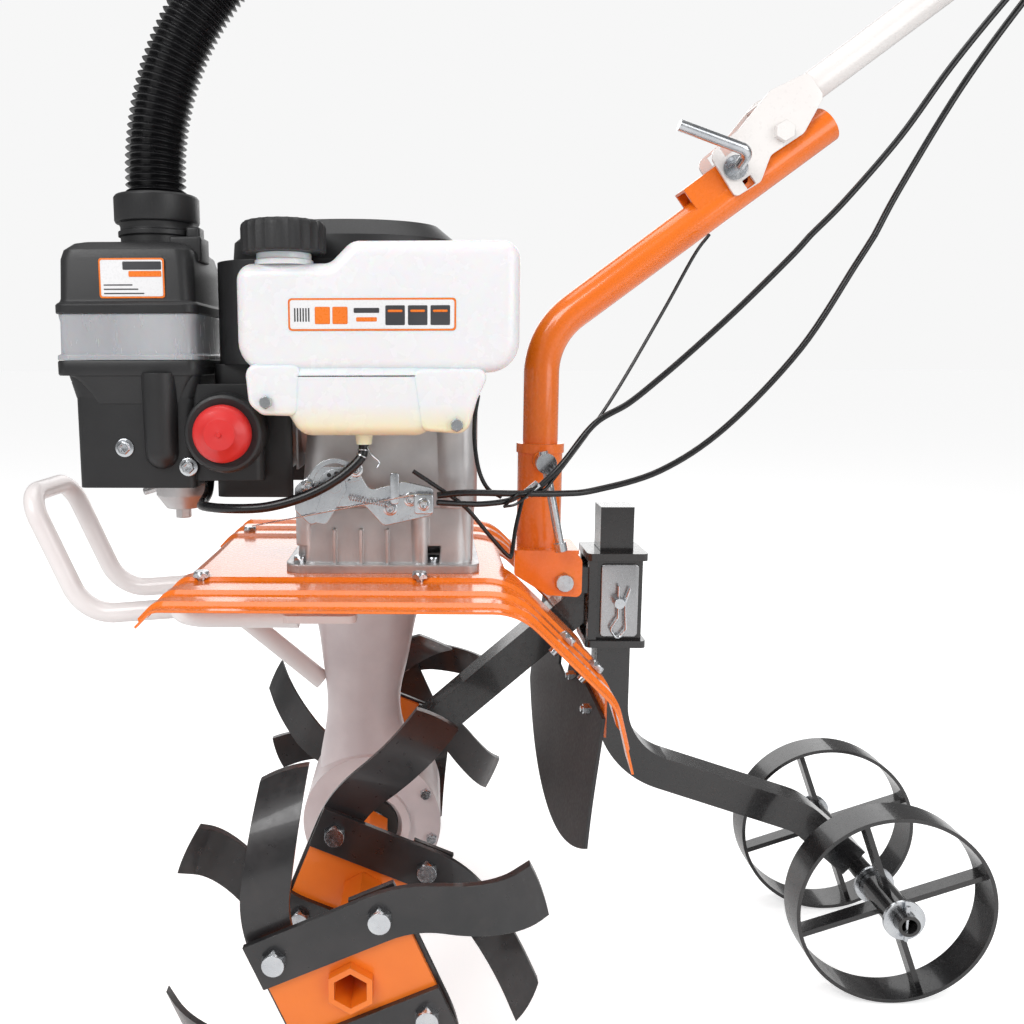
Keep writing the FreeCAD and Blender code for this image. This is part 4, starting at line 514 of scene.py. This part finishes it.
hose_line = spline([(0, -106, 532), (-3, -108.5, 519), (-22, -113, 502), (-50, -114.5, 487),
                    (-84, -112, 477),
                    (-118, -103, 474), (-146, -84, 473), (-154, -56, 472), (-154, -34, 479),
                    (-154, -24, 497)], 8)
tube("fuel_hose", hose_line, 4.3, CABLE, "chassis", ("fuel_line",), seg=18)
for k, spot in enumerate((4, 7)):
    at = hose_line[spot]
    along = (hose_line[spot + 1] - hose_line[spot - 1]).normalized()
    lathe("hose_clip_%d" % k, [(4.35, -0.5), (5.3, -0.5), (5.3, 0.5), (4.35, 0.5)], at, along, ZINC,
          "chassis",
          seg=24)
clip_at = hose_line[5]
tube("hose_clip_ears", spline([clip_at + Vector((4, -4, 5)), clip_at + Vector((8, -6, -2)),
                               clip_at + Vector((14, -5, -8)), clip_at + Vector((12, -6, -13))], 5), 0.8,
                               ZINC,
     "chassis", seg=8)


# ------------------------------------------------------------ labels, with plain blocks only
def patch(name, x0, x1, z0, z1, y, mat, body="chassis", r=1.5, slot="white_paint"):
    outline = rounded(rect(x0, x1, z0, z1, r), 4)
    loops = [[(q.x, y + 0.25, q.y) for q in outline], [(q.x, y, q.y) for q in outline]]
    return rings(name, loops, mat, body)


TANK_FACE = TANK[0] - 0.05
patch("tank_label_border", -60, 78, 626.5, 653, TANK_FACE - 0.15, LABEL_ORANGE, r=3.0)
patch("tank_label_face", -58.5, 76.5, 628, 651.5, TANK_FACE - 0.30, LABEL_WHITE, r=2.2)
for k in range(2):
    patch("tank_label_orange_block_%d" % k, -38 + 14.5 * k, -25.5 + 14.5 * k, 632, 646, TANK_FACE - 0.45,
          LABEL_ORANGE, r=1.0)
for k in range(3):
    patch("tank_label_dark_block_%d" % k, 20 + 18.5 * k, 36 + 18.5 * k, 631, 647, TANK_FACE - 0.45,
          LABEL_GREY, r=1.0)
    patch("tank_label_bar_%d" % k, 22 + 18.5 * k, 34 + 18.5 * k, 641.5, 643.5, TANK_FACE - 0.6, LABEL_ORANGE,
          r=0.8)
for k in range(6):
    patch("tank_label_line_%d" % k, -55 + 2.3 * k, -53.9 + 2.3 * k, 634, 645, TANK_FACE - 0.45, LABEL_GREY,
          r=0.2)
patch("tank_label_stripe_a", -6, 15, 641, 645, TANK_FACE - 0.45, LABEL_GREY, r=0.8)
patch("tank_label_stripe_b", -4, 13, 634, 637.5, TANK_FACE - 0.45, LABEL_ORANGE, r=0.8)
BOX_FACE = -91.0
patch("box_label_border", -229, -172, 656, 690, BOX_FACE - 0.15, LABEL_ORANGE, r=2.5)
patch("box_label_face", -227.5, -173.5, 657.5, 688.5, BOX_FACE - 0.3, LABEL_WHITE, r=1.8)
patch("box_label_dark_band", -208, -174.5, 680, 687, BOX_FACE - 0.45, LABEL_GREY, r=1.0)
patch("box_label_orange_band", -203, -174.5, 674, 679, BOX_FACE - 0.45, LABEL_ORANGE, r=1.0)
for k in range(3):
    patch("box_label_line_%d" % k, -225, -190 - 5 * k, 659.5 + 3.6 * k, 660.6 + 3.6 * k, BOX_FACE - 0.45,
          LABEL_GREY, r=0.3)

# ------------------------------------------------------------ soil flap
FLAP_X = 197.0
FLAP_TOP = 320.5
FLAP_LEAN = 0.12
FLAP_HALF = 199.0


def flap_bottom(y):
    """Height of the curved lower edge."""
    edge = min(1.0, abs(y) / 200.0)
    return 160.5 + 54.0 * edge ** 2.1


def flap_point(y, share, face):
    """Point of the hanging sheet; share runs from its top to its lower edge."""
    top = FLAP_TOP if abs(y) > 26.0 else FLAP_TOP - 29.0
    z = top + (flap_bottom(y) - top) * share
    x = FLAP_X - 3.9 + (316.0 - z) * -FLAP_LEAN + face * 2.8
    width = 1.0 - 0.035 * (1 - share)
    sway = 1.2 * math.sin(share * math.pi) * math.cos(y / 60.0)
    return (x + sway * share, y * width, z)


flap_verts = []
flap_faces = []
COLS = 48
ROWS = 14
for face in (0, 1):
    for i in range(ROWS + 1):
        for j in range(COLS + 1):
            flap_verts.append(flap_point(FLAP_HALF * (2.0 * j / COLS - 1.0), i / ROWS, face))
STRIDE = (ROWS + 1) * (COLS + 1)
for i in range(ROWS):
    for j in range(COLS):
        a = i * (COLS + 1) + j
        flap_faces.append((a, a + 1, a + COLS + 2, a + COLS + 1))
        flap_faces.append((a + STRIDE, a + STRIDE + COLS + 1, a + STRIDE + COLS + 2, a + STRIDE + 1))
for i in range(ROWS):
    for j in (0, COLS):
        a = i * (COLS + 1) + j
        b = a + COLS + 1
        flap_faces.append((a, b, b + STRIDE, a + STRIDE))
for j in range(COLS):
    for i in (0, ROWS):
        a = i * (COLS + 1) + j
        flap_faces.append((a, a + 1, a + 1 + STRIDE, a + STRIDE))
piece("soil_flap_sheet", flap_verts, flap_faces, FLAP, "chassis", ("soil_flap",))

# ------------------------------------------------------------ cables
upper_run = [(146, -80, 483), (158, -76, 493), (176, -72, 511), (204, -68, 546), (234, -65, 564),
             (262, -61, 586),
             (292, -58, 612), (332, -55, 649), (375, -52, 692), (392, -51, 711)]
lower_run = [(63, -103, 486), (88, -100, 488), (132, -90, 486), (174, -76, 484), (207, -66, 486),
             (266, -60, 503),
             (324, -56, 542), (389, -51, 612), (435, -47, 686), (450, -46, 711)]
for label, run in (("throttle_cable_low", upper_run), ("drive_cable_low", lower_run)):
    low = tube(label, spline(run, 8), 2.9, CABLE, None, seg=12)
    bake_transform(low)
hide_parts("stem_cables")
tail_upper = [(392, -51, 711), (421, -50, 741), (466, -48, 795), (505, -47, 852), (547, -46, 906),
              (596, -41, 962), (634, -35, 986)]
tail_lower = [(450, -46, 711), (471, -44, 753), (517, -42, 835), (564, -40, 904), (600, -37, 948),
              (634, -33, 978)]
for label, run in (("throttle_cable_high", tail_upper), ("drive_cable_high", tail_lower)):
    high = tube(label, spline(run, 8), 2.9, CABLE, None, seg=12)
    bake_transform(high)
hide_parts("upper_cables")
stop_low = tube("stop_wire_low", spline([(112, -80, 486), (134, -80, 484), (156, -76, 486), (170, -70, 499),
                                         (217, -60, 563), (264, -46, 641), (296, -32, 696),
                                         (312, -22, 716)], 8),
                1.6, CABLE, None, seg=10)
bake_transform(stop_low)
tube("governor_loop", spline([(42, -100, 507), (64, -97, 492), (88, -92, 474), (110, -90, 448),
                              (126, -88, 430),
                              (130, -86, 431), (133, -84, 452), (137, -82, 470), (141, -80, 486)], 8), 1.9,
                              CABLE,
     "chassis", ("lower_cables",), seg=10)
tube("tank_side_wire", spline([(99, -82, 572), (96, -86, 552), (96, -88, 530), (100, -90, 506),
                               (108, -88, 490),
                               (120, -84, 482)], 8), 1.9, CABLE, "chassis", seg=10)
tube("bundle_wire", spline([(63, -104, 480), (84, -98, 478), (104, -92, 477), (126, -86, 479),
                            (140, -80, 485)], 8),
     2.6, CABLE, "chassis", seg=12)
for k, bend in enumerate((-1, 1)):
    tube("cable_tie_%d" % k, spline([(122, -90, 474), (134, -94, 482 + 4 * bend), (150, -86, 491),
                                     (152, -76, 493)], 6), 1.2, CABLE, "chassis", seg=8)
tube("cable_ferrule", [Vector((140, -84, 483)), Vector((153, -80, 493))], 4.0, ZINC, "chassis",
     seg=18)
tube("governor_wire", [Vector((-100, -101, 458)), Vector((44, -104, 487))], 0.7, ZINC, "chassis",
     seg=6)


# ------------------------------------------------------------ grips
TILT_AXIS = Vector((375.0, 0, 806.0))
SLOPE = math.radians(36.5)
JOIN = TILT_AXIS + Vector((math.cos(SLOPE), 0, math.sin(SLOPE))) * 330.0
JOIN += Vector((-math.sin(SLOPE), 0, math.cos(SLOPE))) * 17.0
GRIP_START = JOIN + Vector((30, 0, 12))
GRIP_END = JOIN + Vector((255, 0, 95))
GRIP_DIR = (GRIP_END - GRIP_START).normalized()
for label, y in (("left", -235.0), ("right", 235.0)):
    profile = [(12.6, -122), (17.0, -122), (17.4, -121), (17.4, -119), (17, -118), (16.2, -117)]
    for k in range(18):
        h = -112 + 6.0 * k
        profile += [(16.5, h), (16.5, h + 3.4), (15.4, h + 4.2), (15.4, h + 5.4)]
    profile += [(16.4, -3), (16.2, 1.5), (13, 3.8), (0.01, 4)]
    lathe("grip_%s" % label, profile, GRIP_END + Vector((0, y, 0)), GRIP_DIR, GRIP, "handlebar",
                 ("grips",), seg=40)

# ------------------------------------------------------------ throttle bracket
def sheet(name, outline, y0, y1, mat, replaces=()):
    """Flat sheet lying across Y with lightly eased rims."""
    ease = min(0.5, abs(y1 - y0) * 0.25)
    inner = inset(outline, ease)
    loops = [[(q.x, y0, q.y) for q in inner], [(q.x, y0 - ease, q.y) for q in outline],
             [(q.x, y1 + ease, q.y) for q in outline], [(q.x, y1, q.y) for q in inner]]
    return rings(name, loops, mat, "chassis", replaces)


def arc(centre, radius, turns):
    """Points on a circle at the given angles."""
    return [Vector((centre[0] + radius * math.cos(a), centre[1] + radius * math.sin(a))) for a in turns]


def fan(centre, r_in, r_out, start, stop, count=20):
    """Outline of a ring sector."""
    turns = [math.radians(start + (stop - start) * k / count) for k in range(count + 1)]
    return arc(centre, r_out, turns) + arc(centre, r_in, turns[::-1])


PIVOT = (-26.0, 494.0)
EMBOSS = -99.4              # face of the raised quadrant, clear of the arm that swings over it
sheet("control_plate_sheet", rounded([(-62, 472, 4), (-46, 456, 6), (-34, 474, 4), (0, 476, 5), (16, 458, 6),
                                      (60, 468, 6), (60, 492, 5), (34, 498, 8), (4, 490, 8), (-8, 511, 6),
                                      (-40, 511, 12), (-62, 492, 8)]), -97.0, -99.0, ZINC,
      ("control_plate",))
sheet("control_quadrant_outer", fan(PIVOT, 19.5, 24.0, 20, 175), -98.9, EMBOSS, ZINC)
sheet("control_quadrant_inner", fan(PIVOT, 7.0, 14.5, 20, 175), -98.9, EMBOSS, ZINC)
sheet("control_quadrant_end_a", fan(PIVOT, 12.0, 22.0, 12, 26, 4), -98.9, EMBOSS, ZINC)
sheet("control_quadrant_end_b", fan(PIVOT, 12.0, 22.0, 168, 184, 4), -98.9, EMBOSS, ZINC)
for k, a in enumerate((50, 85, 120)):
    spot = (PIVOT[0] + 10.8 * math.cos(math.radians(a)), -99.12, PIVOT[1] + 10.8 * math.sin(math.radians(a)))
    lathe("quadrant_hole_%d" % k, [(0.01, 0.0), (1.7, 0.0), (1.9, 0.3), (0.01, 0.35)], spot, (0, -1, 0),
          CAP_BLACK, "chassis", seg=20)
pillow("cable_clamp_block", rect(43, 60, 470, 488, 3), "xz", -108.0, -98.5, 1.2, 1.0, ZINC, "chassis")
screw("cable_clamp_screw", (51.5, -107.8, 479), (0, -1, 0), r=4.2, height=4.2, washer=5.6)
pillow("cable_stop_tab", rect(22, 30, 478, 506, 3), "xz", -103.0, -98.5, 0.8, 0.8, ZINC, "chassis")
coil = []
for k in range(150):
    a = 2 * math.pi * k / 10.0
    share = k / 149.0
    coil.append(Vector((-14 + 34 * share, -104.0 + 2.0 * math.cos(a), 484 - 6 * share + 2.0 * math.sin(a))))
tube("governor_spring", coil, 0.5, ZINC, "chassis", seg=6)
for k, (x, z) in enumerate(((-50, 494), (40, 482))):
    screw("bracket_screw_%d" % k, (x, -99.0, z), (0, -1, 0), r=4.4, height=4.0, washer=6.2)

# ------------------------------------------------------------ hitch pad
HITCH_X = 238.0
pillow("hitch_pad", rect(HITCH_X - 16, HITCH_X + 20, 336, 408, 4), "xz", -26.2, -23.5, 0.8, 0.8, STEEL,
       "chassis")

# ------------------------------------------------------------ small engine details
for k, (x, z) in enumerate(((-8, 508), (22, 474))):
    screw("engine_screw_%d" % k, (x, -99.1, z), (0, -1, 0), r=4.6, height=4.0, washer=6.4)
lathe("float_bowl", [(0.01, -30), (6, -30), (9, -26), (20, -18), (25.5, -8), (26.5, 0), (28, 0.5), (28, 4),
                     (0.01, 4)], (-184, -14, 492), (0, 0, 1), GLASSY, "chassis", seg=48)


# ------------------------------------------------------------ floor, light, camera
BACKDROP = 0.93
FLOOR_GLOW = 0.52
DIFFUSE_SKY = 0.50
GLOSS_SKY = 0.22


def floor():
    """Pale floor whose far edge melts into the backdrop."""
    mesh = bpy.data.meshes.new("floor")
    far = 60.0
    mesh.from_pydata([(-far, -far, -0.002), (far, -far, -0.002), (far, far, -0.002), (-far, far, -0.002)],
                     [],
                     [(0, 1, 2, 3)])
    obj = bpy.data.objects.new("floor", mesh)
    bpy.context.scene.collection.objects.link(obj)
    mat = bpy.data.materials.new("floor")
    mat.use_nodes = True
    tree = mat.node_tree
    shader = tree.nodes["Principled BSDF"]
    shader.inputs["Base Color"].default_value = (0.86, 0.86, 0.86, 1)
    shader.inputs["Roughness"].default_value = 0.9
    shader.inputs["Specular IOR Level"].default_value = 0.1
    shader.inputs["Emission Color"].default_value = (1, 1, 1, 1)
    seen = tree.nodes.new("ShaderNodeLightPath").outputs["Is Camera Ray"]
    tree.links.new(ramp(tree, seen, 0.0, 1.0, 0.0, FLOOR_GLOW), shader.inputs["Emission Strength"])
    mesh.materials.append(mat)


def area(name, at, size, power, target=(0.05, 0, 0.5)):
    """Soft rectangular lamp aimed at the middle of the machine."""
    light = bpy.data.lights.new(name, "AREA")
    light.energy = power
    light.shape = "RECTANGLE"
    light.size, light.size_y = size
    obj = bpy.data.objects.new(name, light)
    bpy.context.scene.collection.objects.link(obj)
    obj.location = Vector(at) - MIDDLE
    obj.rotation_mode = "QUATERNION"
    obj.rotation_quaternion = (Vector(target) - Vector(at)).to_track_quat("-Z", "Y")


floor()
area("key", (-1.3, -1.9, 2.2), (1.6, 1.2), 40)
area("fill", (1.9, -1.7, 1.2), (1.6, 1.6), 20)
area("top", (0.1, 0.2, 2.8), (2.2, 1.6), 26)
area("back", (0.3, 2.4, 1.4), (2.4, 1.6), 22)
world = bpy.data.worlds.new("studio")
world.use_nodes = True
sky = world.node_tree
rays = sky.nodes.new("ShaderNodeLightPath")
level = ramp(sky, rays.outputs["Is Glossy Ray"], 0.0, 1.0, DIFFUSE_SKY, GLOSS_SKY)
strength = sky.nodes.new("ShaderNodeMix")
sky.links.new(rays.outputs["Is Camera Ray"], strength.inputs["Factor"])
sky.links.new(level, strength.inputs["A"])
strength.inputs["B"].default_value = BACKDROP
sky.nodes["Background"].inputs["Color"].default_value = (1, 1, 1, 1)
sky.links.new(strength.outputs["Result"], sky.nodes["Background"].inputs["Strength"])
bpy.context.scene.world = world
bpy.context.scene.view_settings.view_transform = "Standard"

PITCH = 0.1376
YAW = -0.0261
ROLL = -0.0017
EYE = Vector((0.0571, -0.8774, 0.6014))
camera = bpy.data.cameras.new("camera")
camera.sensor_width = 36.0
camera.lens = 31.64
camera.shift_x = 0.1025
camera.shift_y = -0.0252
camera.clip_start = 0.01
view = bpy.data.objects.new("camera", camera)
bpy.context.scene.collection.objects.link(view)
view.matrix_world = (Matrix.Translation(EYE - MIDDLE) @ Matrix.Rotation(-YAW, 4, "Z")
                     @ Matrix.Rotation(math.pi / 2 - PITCH, 4, "X") @ Matrix.Rotation(ROLL, 4, "Z"))
bpy.context.scene.camera = view
